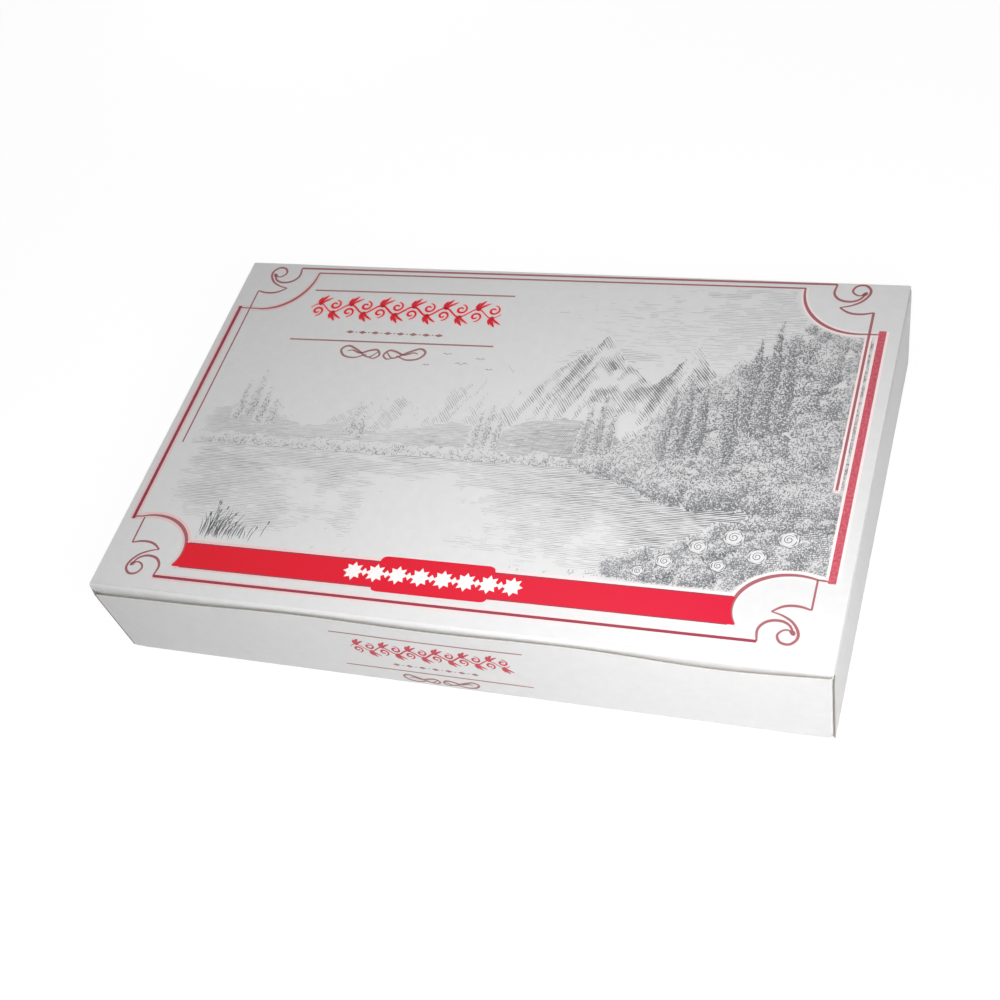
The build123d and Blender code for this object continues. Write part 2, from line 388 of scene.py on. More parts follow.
def board_faces(points, normals, settle=None):
    """A closed board: its coated face is a grid of points, its reverse lies a board's thickness behind."""
    rows, columns = points.shape[:2]
    outer = points.reshape(-1, 3)
    inner = outer - normals.reshape(-1, 3) * BOARD
    both = np.concatenate([outer, inner])
    if settle:
        both = settle(both)
    count = rows * columns
    front = grid_quads(rows, columns)
    edge_a, edge_b = points[0, 1] - points[0, 0], points[1, 0] - points[0, 0]
    if np.cross(edge_a, edge_b) @ normals[0, 0] < 0:
        front = front[:, ::-1]
    rim = np.concatenate(
        [
            np.arange(columns),
            np.arange(1, rows) * columns + columns - 1,
            np.arange(columns - 2, -1, -1) + (rows - 1) * columns,
            np.arange(rows - 2, 0, -1) * columns,
        ]
    )
    after = np.roll(rim, -1)
    sides = np.stack([after, rim, rim + count, after + count], 1)
    if np.cross(edge_a, edge_b) @ normals[0, 0] < 0:
        sides = sides[:, ::-1]
    quads = np.concatenate([front, front[:, ::-1] + count, sides])
    kinds = np.repeat([0, 1, 2], [len(front), len(front), len(sides)])
    return both, quads, kinds


def board_piece(name, parts, replaced=()):
    """One piece from (points, quads, kinds) boards, points in millimetres."""
    points, quads, kinds, count = [], [], [], 0
    for p, q, k in parts:
        points.append(p)
        quads.append(q + count)
        kinds.append(k)
        count += len(p)
    places, quads, kinds = np.concatenate(points) * MM, np.concatenate(quads), np.concatenate(kinds)
    piece = mesh_object(name, places, quads, BOARD_FACES, kinds, flat_kinds=(2,))
    piece.data.set_sharp_from_angle(angle=math.radians(35))
    if replaced:
        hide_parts(*replaced)
    return piece


def extruded(path, normals, along, place, reach=None):
    """A grid that carries a bent path along a line. place(path point, s) gives the point.
    A reach for each path point narrows the grid there."""
    reach = np.ones(len(path)) if reach is None else reach
    grid = np.array([[place(p, s * r) for s in along] for p, r in zip(path, reach)])
    zero = place(np.zeros(2), 0.0)
    out = np.array([place(n, 0.0) - zero for n in normals])
    return grid, np.repeat(out[:, None, :], len(along), 1)


def on_xz(p, s):
    """A path drawn in x and z, carried along y."""
    return np.array([p[0], s, p[1]])


def on_yz(p, s):
    """A path drawn in y and z, carried along x."""
    return np.array([s, p[0], p[1]])


def on_xy(p, s):
    """A path drawn in x and y, carried up z."""
    return np.array([p[0], p[1], s])


def make_lid():
    """The lid over the rolled side walls, from the hinge to the crease of its tuck flap."""
    front, back = LID_LOW[1] + TUCK_ROUNDING, HALF_DEPTH - ROLL_RADIUS
    near_front = front + np.array([0, 1, 2, 3.5, 5, 7, 9, 12, 16, 21, 27, 34])  # where the board droops
    ys = np.concatenate([near_front, spaced(front + 42, back, 7.0)])
    across = np.linspace(LID_LOW[0], LID_HIGH[0], LID_COLUMNS)
    points = np.stack(np.broadcast_arrays(across, ys[:, None], TOP), 2)
    normals = np.broadcast_to([0.0, 0.0, 1.0], points.shape)
    board = board_faces(points, normals, settle_lid)
    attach(board_piece("lid_board", [board], ["lid_panel"]), "lid")


def make_crease(name, corners, radius, along, place, settle, lid_last=False, end_reach=1.0):
    """A crease that turns: a strip of bent board from one body's board to the other's.
    The lower half of the tuck flap's narrows to end_reach, the flap's share of the lid's width."""
    path, normals = bent_path(corners, radius, 1.0)
    narrowing = np.clip((TOP - TUCK_BEND / 2 - path[:, 1]) / (TUCK_BEND / 2), 0, 1)
    grid, out = extruded(path, normals, along, place, 1 - (1 - end_reach) * narrowing)
    piece = board_piece(name, [board_faces(grid, out, settle)])
    start, end = (tuple(place(p, np.mean(along)) * MM) for p in (path[0], path[-1]))
    if lid_last:
        start, end = end, start
    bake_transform(piece)


def make_creases():
    """The creases round the lid: the hinge, the tuck flap's and the ears'."""
    back_wall_top = BACK_HIGH[2]
    hinge = [(HALF_DEPTH, back_wall_top), (HALF_DEPTH, TOP), (HALF_DEPTH - ROLL_RADIUS, TOP)]
    xs = spaced(-LID_HIGH[0] + 0.1, LID_HIGH[0] - 0.1, 6.0)
    make_crease("hinge_crease", hinge, TOP - back_wall_top, xs, on_yz, None)

    front = [(LID_LOW[1] + TUCK_ROUNDING, TOP), (TUCK_FACE, TOP), (TUCK_FACE, TOP - TUCK_BEND)]
    xs = np.linspace(LID_LOW[0], LID_HIGH[0], LID_COLUMNS)
    share = TUCK_HIGH[0] / LID_HIGH[0]
    make_crease("tuck_crease", front, 1.4, xs, on_yz, settle_lid, end_reach=share)

    start = TOP - EAR_HIGH[2]
    foot = (EAR_CREASE - start * math.sin(EAR_LEAN), TOP - start)
    ys = spaced(EAR_LOW[1], EAR_HIGH[1], 6.0)
    right = [foot, (EAR_CREASE - 0.02, TOP - BOARD - 0.05), (EAR_CREASE - 0.9, TOP - BOARD - 0.02)]
    left = [(-x, z) for x, z in reversed(right)]
    make_crease("right_ear_crease", right, 0.3, ys, on_xz, settle_lid, lid_last=True)
    make_crease("left_ear_crease", left, 0.3, ys, on_xz, settle_lid)


def make_tuck_flap():
    """The tuck flap under its crease: it leans inwards and narrows, with rounded free corners."""
    foot = np.array([TUCK_HIGH[1] - BOARD, TUCK_LOW[2]])
    bend = TOP - TUCK_BEND
    path, normals = bent_path([(TUCK_FACE, bend), (TUCK_FACE, bend - 0.8), tuple(foot)], 5.0, 1.0)
    left = path[:, 1] - foot[1]
    half_width = TUCK_HIGH[0] - TUCK_TAPER * (1 - left / (TOP - foot[1]))
    rounding = np.sqrt(1 - np.clip(1 - left / TUCK_CORNER, 0, 1) ** 2)
    reach = (half_width - TUCK_CORNER + TUCK_CORNER * rounding) / TUCK_HIGH[0]
    grid, out = extruded(path, normals, spaced(TUCK_LOW[0], TUCK_HIGH[0], 4.0), on_yz, reach)
    flap = board_piece("tuck_board", [board_faces(grid, out, settle_lid)], ["tuck_flap"])
    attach(flap, "tuck_flap")


def make_front_and_back():
    """The front and back walls, each from crease to crease, turning into its corner flaps at the ends."""
    end, face = FRONT_HIGH[0], FRONT_FACE
    turn_in = CREASE_RADIUS + 0.4
    corners = [(-end, face + turn_in), (-end, face), (end, face), (end, face + turn_in)]
    path, normals = bent_path(corners, CREASE_RADIUS, 4.0)
    low, high = FOOT, FRONT_HIGH[2]
    closer = [0, 0.07, 0.17, 0.3, 0.45, 0.58, 0.7, 0.79, 0.86, 0.91, 0.95, 0.98, 1]  # at the free edge
    grid, out = extruded(path, normals, low + (high - low) * np.array(closer), on_xy)
    board = board_faces(grid, out, settle_front)
    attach(board_piece("front_board", [board], ["front_wall"]), "base")

    corners = [(-x, -y) for x, y in corners]
    path, normals = bent_path(corners, CREASE_RADIUS, 6.0)
    grid, out = extruded(path, normals, spaced(FOOT, BACK_HIGH[2], 4.0), on_xy)
    back = board_piece("back_board", [board_faces(grid, out, bowed((0, 1, 0), 0.25))], ["back_wall"])
    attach(back, "base")


def make_side(name, sign, replaced):
    """A rolled side wall in one sheet: up outside, over the corner flaps and down inside to its lock tabs."""
    outside, inside, tab_foot, roll_top = SIDE_HIGH[0] + 0.04, PLY_LOW[0], PLY_LOW[2], SIDE_HIGH[2]
    foot = 0.6
    corners = [(outside, FOOT), (outside, roll_top), (inside, roll_top), (inside, foot)]
    if sign < 0:
        corners = [(-x, z) for x, z in reversed(corners)]
    path, normals = bent_path(corners, ROLL_RADIUS, 4.5)
    on_roll = path[:, 1] > roll_top - 1.0
    is_outer = np.abs(path[:, 0]) > (outside + inside) / 2
    reach = np.where(on_roll, HALF_DEPTH - ROLL_SETBACK, np.where(is_outer, SIDE_HIGH[1], PLY_HIGH[1]))
    grid, out = extruded(path, normals, np.linspace(-1, 1, 35), on_xz, reach)
    parts = [board_faces(grid, out, bowed((sign, 0, 0), 0.3))]
    for middle in (-LOCK_TAB_SPACING / 2, LOCK_TAB_SPACING / 2):
        ys = np.array([middle - LOCK_TAB / 2, middle + LOCK_TAB / 2])
        tab = np.array([[[sign * inside, y, z] for y in ys] for z in (foot, tab_foot)])
        parts.append(board_faces(tab, np.broadcast_to([-sign, 0.0, 0.0], tab.shape)))
    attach(board_piece(name, parts, replaced), "base")


def make_boards():
    """All boards. The bottom, the ears and the corner flaps keep their shapes, coated on one side."""
    make_lid()
    make_creases()
    make_tuck_flap()
    make_front_and_back()
    make_side("right_side_board", 1, ["right_outer_wall", "right_inner_wall"])
    make_side("left_side_board", -1, ["left_outer_wall", "left_inner_wall"])
    flaps = [f"{end}_{side}_corner_flap" for end in ("front", "back") for side in ("right", "left")]
    for name in ["bottom_panel", "right_ear", "left_ear"] + flaps:
        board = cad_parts[name].data
        board.materials.clear()
        board.materials.append(TWO_SIDED)


# ---------------------------------------- the print: lines and films of ink

PRINT_X, PRINT_Y = -1.1, 3.45  # middle of the lid's print in the carton's frame
PRINT_TURNS = 0.0037, 0.0077  # the sheet was cut a little out of square with its print
FRONT_PRINT_X = -4.5  # middle of the front wall's print


def on_lid(flat, lift):
    """Print points on the lid: p to the right and q to the back of the print's middle."""
    p, q = np.moveaxis(np.asarray(flat, float), -1, 0)
    turn_q, turn_p = PRINT_TURNS
    flat_x, flat_y = p - turn_q * q + PRINT_X, q + turn_p * p + PRINT_Y
    placed = settle_lid(np.stack([flat_x, flat_y, np.full(p.shape, TOP)], -1))
    placed[..., 2] += lift
    return placed


def on_front(flat, lift):
    """Print points on the front wall: p to the right of the print's middle, and height over the table."""
    flat = np.asarray(flat, float)
    placed = np.stack([flat[..., 0] + FRONT_PRINT_X, np.full(flat.shape[:-1], FRONT_FACE), flat[..., 1]], -1)
    placed = settle_front(placed)
    placed[..., 1] -= lift
    return placed


def ribbon_mesh(points, widths, run):
    """Flat ribbons along runs of points, which have the same run number. Gives corners and quads."""
    same_next = np.append(run[1:] == run[:-1], False)
    same_before = np.insert(same_next[:-1], 0, False)
    index = np.arange(len(points))
    tangent = points[np.where(same_next, index + 1, index)] - points[np.where(same_before, index - 1, index)]
    length = np.hypot(*tangent.T)
    tangent /= np.maximum(length, 1e-9)[:, None]
    across = np.stack([-tangent[:, 1], tangent[:, 0]], 1) * widths[:, None] / 2
    corners = np.concatenate([points + across, points - across])
    i = index[same_next]
    count = len(points)
    return corners, np.stack([i + count, i + 1 + count, i + 1, i], 1)


def strokes_to_arrays(strokes):
    """A list of (points, widths) strokes as one array of points, of widths and of run numbers."""
    points = np.concatenate([s[0] for s in strokes])
    widths = np.concatenate([np.broadcast_to(s[1], len(s[0])) for s in strokes])
    return points, widths, np.repeat(np.arange(len(strokes)), [len(s[0]) for s in strokes])


def film_quads(films):
    """Films are grids of print points, rows from low to high. Gives their corners and quads."""
    corners, quads, count = [], [], 0
    for film in films:
        corners.append(film.reshape(-1, 2))
        quads.append(grid_quads(*film.shape[:2], first=count))
        count += len(corners[-1])
    return np.concatenate(corners), np.concatenate(quads)


# How far each ink lies off the board, far enough apart that no film cuts through another
WASH_LIFT, ENGRAVED_LIFT, KEY_LIFT, DETAIL_LIFT = 0.01, 0.018, 0.02, 0.022
DULL_LIFT, ORNAMENT_LIFT, BAND_LIFT, TOP_LIFT = 0.035, 0.04, 0.045, 0.055


def ink_piece(name, place, lift, material, strokes=(), films=(), ribbons=()):
    """Printed lines and films as one piece, lying just off the lid's board or the front wall's."""
    corners, quads, count = [], [], 0
    inked = [ribbon_mesh(*r) for r in ribbons]
    inked += [ribbon_mesh(*strokes_to_arrays(strokes))] if strokes else []
    inked += [film_quads(films)] if films else []
    for made in inked:
        corners.append(made[0])
        quads.append(made[1] + count)
        count += len(made[0])
    piece = mesh_object(name, place(np.concatenate(corners), lift) * MM, np.concatenate(quads), [material])
    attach(piece, "lid" if place is on_lid else "base")


def line(start, end, width, size=4.0):
    """A ruled line."""
    start, end = np.array(start, float), np.array(end, float)
    t = spaced(0, 1, size / np.linalg.norm(end - start))
    return start + (end - start) * t[:, None], width


def arc(centre, radius, start, end, thin, thick=None):
    """An arc between two angles in degrees, from thin ends to a thick middle. The radius may be a pair."""
    angle = np.radians(spaced(start, end, 4.0))
    points = np.array(centre) + np.stack([np.cos(angle), np.sin(angle)], 1) * radius
    swell = np.sin(np.linspace(0, np.pi, len(angle)))
    return points, thin + ((thick or thin) - thin) * swell


def curve(points, thin, thick, size=0.5):
    """A smooth pen stroke through the points, thin at its ends and thick in the middle."""
    p = np.array(points, float)
    p = np.concatenate([[2 * p[0] - p[1]], p, [2 * p[-1] - p[-2]]])
    made = []
    for a, b, c, d in zip(p, p[1:], p[2:], p[3:]):
        t = spaced(0, 1, size / max(np.linalg.norm(c - b), 1e-6))[:-1, None]
        cubic = (2 * a - 5 * b + 4 * c - d) * t**2 + (3 * b - a - 3 * c + d) * t**3
        made.append(0.5 * (2 * b + (c - a) * t + cubic))
    path = np.concatenate(made + [p[-2:-1]])
    return path, thin + (thick - thin) * np.sin(np.linspace(0, np.pi, len(path))) ** 0.8


def spiral(centre, outer, inner, start, turns, thin, thick):
    """A volute that winds in, from the start angle in degrees. Positive turns wind anticlockwise."""
    t = np.linspace(0, 1, int(abs(turns) * 28))
    angle = math.radians(start) + 2 * math.pi * turns * t
    radius = outer + (inner - outer) * t**0.8
    points = np.array(centre) + radius[:, None] * np.stack([np.cos(angle), np.sin(angle)], 1)
    return points, thin + (thick - thin) * np.sin(np.pi * t) ** 0.7


def mirrored(strokes, p_sign=1, q_sign=1):
    """Strokes or films turned over about the print's middle lines."""
    turn = np.array([p_sign, q_sign])
    return [(s[0] * turn, s[1]) for s in strokes]


def moved(strokes, dp, dq, size=1.0):
    """Strokes scaled and shifted."""
    return [(s[0] * size + (dp, dq), np.asarray(s[1]) * size) for s in strokes]


# Places in the lid's print, from its middle
BAR_P, BAR_TOP, BAR_FOOT = 129.5, 56.8, -55.0
BAR_WIDTHS = {-1: 1.35, 1: 2.6}
FINE_P, FINE_TOP, FINE_TURN, FINE_FOOT = 124.9, 65.8, -16.8, -53.9
OUTER_Q, OUTER_REACH = 79.6, 109.9
BACK_INNER_Q = 77.1
# The hollows at the corners, right and left: an ellipse's middle and its reach each way
BACK_ARCS = {1: ((121.0, 76.5), (22.4, 21.6)), -1: ((120.0, 76.5), (19.0, 20.9))}
FRONT_ARCS = {1: ((118.0, -67.3), (18.4, 14.4)), -1: ((119.8, -67.2), (17.4, 14.6))}
BAND_TOP, BAND_FOOT = -63.6, -74.4
PLAQUE_P, PLAQUE_HALF, PLAQUE_TOP, PLAQUE_FOOT, PLAQUE_SHOULDER = -3.7, 21.4, -61.1, -76.1, 2.2
LINE_WIDTH = 1.15


def corner_scroll():
    """The scroll in the front right corner: a leaf tip, a volute and a shoulder that meets the outer line."""
    tip = [(FINE_P, -65.8), (121.4, -64.9), (117.9, -64.9), (115.2, -65.8), (112.5, -67.8)]
    back = [(112.5, -67.8), (116.2, -68.9), (119.8, -71.1), (122.1, -74.5), (122.2, -77.4), (120.1, -79.5)]
    ring = [(120.1, -79.5), (117.2, -79.0), (115.9, -76.6), (117.1, -74.7), (119.1, -74.2), (121.0, -75.7)]
    shoulder = [(121.0, -75.7), (119.3, -72.6), (116.6, -71.1), (113.3, -71.2), (110.8, -72.6)]
    shoulder += [(109.4, -75.3), (OUTER_REACH, -OUTER_Q)]
    return [
        curve(tip, 0.6, 1.0),
        curve(back + ring[1:], 0.45, 1.0),
        curve([(119.4, -74.3), (120.4, -74.9), (121.2, -76.0)], 0.5, 1.7),
        curve(shoulder, 0.6, 1.05),
    ]


def front_arc_line(side, out, thin, thick):
    """The arc round one end of the band, up to the foot of the bar, or a line beside it."""
    centre, reach = FRONT_ARCS[side]
    points, widths = arc(centre, np.array(reach) + out, 68, 208, thin, thick)
    to_bar = np.array([[BAR_P + 0.4, points[0, 1] - 0.5], [(BAR_P + points[0, 0]) / 2, points[0, 1] - 0.1]])
    return np.concatenate([to_bar, points]) * (side, 1), np.concatenate([[thin, thin], widths])


def back_arc_line(side, out, thin, thick):
    """The arc round a back corner, from the inner line to the top of the bar, or a line beside it."""
    centre, reach = BACK_ARCS[side]
    points, widths = arc(centre, np.array(reach) + out, 178, 275, thin, thick)
    to_bar = np.array([[BAR_P, points[-1, 1] + 0.1]])
    return np.concatenate([points, to_bar]) * (side, 1), np.concatenate([widths, [thin]])


def frame_lines():
    """The frame's ruled lines, and the fine dark edge of the band."""
    lines = [line((-OUTER_REACH, -OUTER_Q), (OUTER_REACH, -OUTER_Q), LINE_WIDTH)]
    for q in (BAND_FOOT, BAND_TOP):
        for start, end in ((-101.5, PLAQUE_P - PLAQUE_HALF), (PLAQUE_P + PLAQUE_HALF, 99.5)):
            lines.append(line((start, q), (end, q), 0.5))
    return lines


def corner_lines():
    """The duller lines: those along the back, the arcs, the scrolls and the short uprights between them."""
    lines = [line((-OUTER_REACH, OUTER_Q), (OUTER_REACH, OUTER_Q), 1.0)]
    lines.append(line((-101.0, BACK_INNER_Q), (98.7, BACK_INNER_Q), 0.8))
    for side, width in ((-1, 0.65), (1, 0.95)):
        lines.append(line((side * FINE_P, FINE_TURN), (side * FINE_P, FINE_TOP), width))
        lines.append(line((side * FINE_P, -FINE_TOP), (side * FINE_P, FINE_FOOT), 0.7))
        lines += [back_arc_line(side, 0.0, 0.65, 1.25), front_arc_line(side, 0.0, 0.7, 1.4)]
        lines += mirrored(corner_scroll(), side) + mirrored(corner_scroll(), side, -1)
    return lines


def key_lines():
    """The pale lines that edge the frame and the band."""
    keys = []
    for side in (-1, 1):
        reach = BAR_WIDTHS[side] / 2 + 0.5
        for p in (BAR_P - reach, BAR_P + reach):
            keys.append(line((side * p, BAR_FOOT), (side * p, BAR_TOP), 0.9))
        keys += [front_arc_line(side, 1.2, 0.8, 1.1), front_arc_line(side, -1.2, 0.5, 0.8)]
        keys += [back_arc_line(side, 1.0, 0.5, 0.9), back_arc_line(side, -1.0, 0.4, 0.8)]
    for p in (FINE_P - 0.85, FINE_P + 0.85):
        keys.append(line((p, FINE_TURN - 1.0), (p, 54.0), 0.8))
    keys.append(line((FINE_P - 1.2, FINE_TURN - 0.9), (FINE_P + 1.2, FINE_TURN - 0.9), 0.9))
    keys.append(line((-103.5, BAND_TOP + 0.8), (101.5, BAND_TOP + 0.8), 1.3))
    keys.append(line((-103.5, BAND_FOOT - 0.6), (100.5, BAND_FOOT - 0.6), 0.9))
    for q in (-OUTER_Q + 0.95, -OUTER_Q - 0.95):
        keys.append(line((-OUTER_REACH, q), (OUTER_REACH, q), 0.8))
    return keys


def band_films():
    """The red band, its ends hollowed by the corner arcs, and the raised plaque in its middle."""
    rows, across = spaced(BAND_FOOT, BAND_TOP, 0.9), np.linspace(0, 1, 53)
    ends = []
    for side in (-1, 1):
        (p, q), (reach_p, reach_q) = FRONT_ARCS[side]
        ends.append(side * (p - reach_p * np.sqrt(1 - ((rows - q) / reach_q) ** 2))[:, None])
    ps = ends[0] * (1 - across) + ends[1] * across
    films = [np.stack([ps, np.broadcast_to(rows[:, None], ps.shape)], 2)]
    for edge, outer in ((BAND_TOP, PLAQUE_TOP), (BAND_FOOT, PLAQUE_FOOT)):
        out = np.linspace(0, 1, 8)
        reach = PLAQUE_HALF - PLAQUE_SHOULDER + PLAQUE_SHOULDER * np.sqrt(1 - out**2)
        reach[0] += 1.2
        ps = PLAQUE_P + reach[:, None] * np.linspace(-1, 1, 13)
        part = np.stack([ps, np.broadcast_to((edge + (outer - edge) * out)[:, None], ps.shape)], 2)
        films.append(part if outer > edge else part[::-1])
    return films


def make_frame_print():
    """The printed frame: its lines and bars, their pale edges, and the red band along the front."""
    ink_piece("frame_key_lines", on_lid, KEY_LIFT, KEY_INK, key_lines())
    ink_piece("corner_lines", on_lid, DULL_LIFT, SCROLL_INK, corner_lines())
    ink_piece("frame_lines", on_lid, TOP_LIFT, LINE_INK, frame_lines())
    for name, side, ink in (("left_bar", -1, BAR_INK), ("right_bar", 1, ROSE_BAR_INK)):
        bar = line((side * BAR_P, BAR_FOOT), (side * BAR_P, BAR_TOP), BAR_WIDTHS[side])
        ink_piece(name, on_lid, ORNAMENT_LIFT, ink, [bar])
    ink_piece("red_band", on_lid, BAND_LIFT, RED_INK, films=band_films())


# ---------------------------------------- ornaments of the lid, its band and the front wall

def vine(width, height, thick):
    """A running vine about the origin: a waved stem, curls in its hollows and slanted leaves."""
    waves = max(3, round(width / height / 1.05))
    step = width / waves
    x = np.linspace(-width / 2, width / 2, waves * 8 + 1)
    stem = np.stack([x, 0.17 * height * np.sin(2 * np.pi * x / step)], 1)
    strokes = [curve(stem, 0.25 * thick, 0.7 * thick)]
    for k in range(2 * waves):
        side = 1 if k % 2 == 0 else -1
        middle = -width / 2 + (k + 0.5) * step / 2
        heart, outer, inner = (middle, side * -0.14 * height), 0.21 * height, 0.05 * height
        strokes.append(spiral(heart, outer, inner, -90 * side, 1.2 * side, 0.3 * thick, 0.8 * thick))
        for lean, reach, weight in ((0.16, 0.50, 1.15), (-0.02, 0.42, 0.9), (0.34, 0.40, 0.8)):
            root = np.array([middle + 0.02 * step, side * 0.10 * height])
            tip = root + np.array([lean * height, side * (reach - 0.06) * height])
            bulge = (root + tip) / 2 + np.array([-0.07 * height, 0])
            strokes.append(curve([root, bulge, tip], 0.1 * thick, weight * thick))
    return strokes


def lozenge(p, q, long, wide):
    """A lozenge, as a stroke that swells in its middle."""
    return np.array([[p - long / 2, q], [p, q], [p + long / 2, q]]), np.array([0.05, wide, 0.05])


def lozenge_row(width, count, long, wide):
    """Lozenges with dots between them."""
    row = []
    for k, p in enumerate(np.linspace(-width / 2, width / 2, 2 * count - 1)):
        row.append(lozenge(p, 0, long, wide) if k % 2 == 0 else lozenge(p, 0, 0.3 * long, 0.4 * wide))
    return row


def double_loop(width, height, thin, thick):
    """The traditional pair of open loops that turn towards each other."""
    half, high = width / 2, height / 2
    outer = [(0.10, 0.15), (0.30, -0.75), (0.62, 0.35), (0.86, 0.95), (1.0, 0.3), (0.88, -0.7)]
    outer += [(0.62, -0.95), (0.36, -0.35)]
    inner = [(0.30, -0.75), (0.16, -0.95), (0.05, -0.35), (0.14, 0.45), (0.30, 0.35), (0.52, -0.15)]
    inner += [(0.72, 0.25), (0.84, 0.1)]
    strokes = []
    for side in (-1, 1):
        for points in (outer, inner):
            strokes.append(curve([(side * half * x, high * y) for x, y in points], thin, thick))
    return strokes


def star_films(p, q, radius):
    """An eight-pointed star as eight kites."""
    angles = np.pi / 8 * np.arange(17)
    radii = np.where(np.arange(17) % 2 == 0, radius, 0.62 * radius)
    rim = np.stack([p + radii * np.cos(angles), q + radii * np.sin(angles)], 1)
    centre = np.array([p, q])
    return [np.array([[centre, rim[(k - 1) % 16]], [rim[k + 1], rim[k]]]) for k in range(0, 16, 2)]


STAR_COUNT, STAR_PITCH, STAR_RADIUS, STAR_Q = 8, 8.4, 3.9, -68.6
STARS_P = PLAQUE_P - 0.6
VINE_HALO = 1.0  # how much wider the pale line under the vine is


def make_ornaments():
    """A running vine between rules on the lid, stars in its band, and a smaller vine on the front wall."""
    rules = [line((-99.2, 67.2), (-12.6, 67.6), 0.75), line((-100.2, 39.6), (-13.7, 40.4), 0.75)]
    loops = moved(double_loop(35.7, 6.4, 0.45, 1.0), -58.0, 34.3)
    row = moved(lozenge_row(38.0, 8, 3.6, 1.7), -56.5, 44.8)
    running = moved(vine(82.0, 13.0, 1.25), -56.5, 57.5)
    halo = [(points, np.asarray(widths) + VINE_HALO) for points, widths in running]
    ink_piece("title_rules", on_lid, DULL_LIFT, ROSE_INK, rules + loops + row)
    ink_piece("title_vine", on_lid, ORNAMENT_LIFT, RED_INK, running)
    ink_piece("title_vine_key", on_lid, KEY_LIFT, KEY_INK, halo)

    films, lozenges = [], []
    for k in range(STAR_COUNT):
        p = STARS_P + (k - (STAR_COUNT - 1) / 2) * STAR_PITCH
        films += star_films(p, STAR_Q, STAR_RADIUS)
        if k < STAR_COUNT - 1:
            lozenges.append(lozenge(p + STAR_PITCH / 2, STAR_Q, 2.2, 3.4))
    ink_piece("band_stars", on_lid, TOP_LIFT, WHITE_INK, lozenges, films)

    small = [line((-36, q), (36, q), 0.6) for q in (28.4, 8.1)]
    small += moved(lozenge_row(30.0, 7, 3.0, 1.6), 0.0, 11.8)
    small += moved(double_loop(29.0, 4.2, 0.4, 0.9), 0.0, 3.7)
    ink_piece("front_rules", on_front, DULL_LIFT, ROSE_INK, small)
    ink_piece("front_vine", on_front, ORNAMENT_LIFT, FRONT_RED_INK, moved(vine(60.0, 9.6, 1.1), 0.0, 20.6))


# ---------------------------------------- the engraved picture: a lake among mountains

CELL = 0.25  # of the fields of ink cover
SHORE = -15.0
SKY, ROCK, HILL, LEAF, WATER, BANK = range(6)
PALEST_WASH, DEEPEST_WASH = 0.015, 0.38
FIELD_P, FIELD_Q = np.arange(-128.0, 128.1, CELL), np.arange(-63.0, 77.1, CELL)
P, Q = np.meshgrid(FIELD_P, FIELD_Q)
# The open roses: middle and radius
BLOSSOMS = [(84, -45, 3.3), (95, -40, 3.8), (104, -47, 3.4), (74, -52, 3.0), (113, -39, 3.6), (66, -57, 2.4)]
BLOSSOMS += [(92, -52, 2.8)]


def noise(x, y, seed):
    """Smooth random values from 0 to 1, about one hill or hollow for each unit of x and y."""
    lattice = np.random.default_rng(seed).random((128, 128))
    xi, yi = np.floor(x).astype(int), np.floor(y).astype(int)
    fx, fy = x - xi, y - yi
    fx, fy = fx * fx * (3 - 2 * fx), fy * fy * (3 - 2 * fy)
    a, b = lattice[yi % 128, xi % 128], lattice[yi % 128, (xi + 1) % 128]
    c, d = lattice[(yi + 1) % 128, xi % 128], lattice[(yi + 1) % 128, (xi + 1) % 128]
    return (a * (1 - fx) + b * fx) * (1 - fy) + (c * (1 - fx) + d * fx) * fy


def layered_noise(x, y, seed, octaves=4):
    """Noise with finer noise on it, still about 0 to 1."""
    total = sum(noise(x * 2**k, y * 2**k, seed + k) * 0.55**k for k in range(octaves))
    return total / sum(0.55**k for k in range(octaves))


def ramp(x, low, high):
    """0 below low, 1 above high, smooth between."""
    t = np.clip((x - low) / (high - low), 0, 1)
    return t * t * (3 - 2 * t)


def ridge_line(peaks, power, roughness, seed):
    """A skyline over the field: the highest of the (middle, top, half width) peaks, with a broken edge."""
    line_q = np.full(FIELD_P.shape, -1e3)
    for middle, top, half in peaks:
        line_q = np.maximum(line_q, SHORE + (top - SHORE) * (1 - (np.abs(FIELD_P - middle) / half) ** power))
    for k in range(4):
        jag = noise(FIELD_P / (16 / 2**k), FIELD_P * 0 + 7.3, seed + k) - 0.5
        line_q = line_q + roughness * jag * 0.6**k * 2
    return line_q


def slope_foot(p):
    """Where the wooded slope on the right meets the water."""
    return SHORE - 13 * ramp(p, 34, 84) + 1.5 * (noise(p / 7, p * 0 + 2.5, 93) - 0.5)


def slope_top(p):
    """Top of that slope's trees."""
    return SHORE - 2 + 78 * ramp(p, 26, 116) ** 1.1 + 6.0 * (noise(p / 9, p * 0 + 1.5, 91) - 0.5)


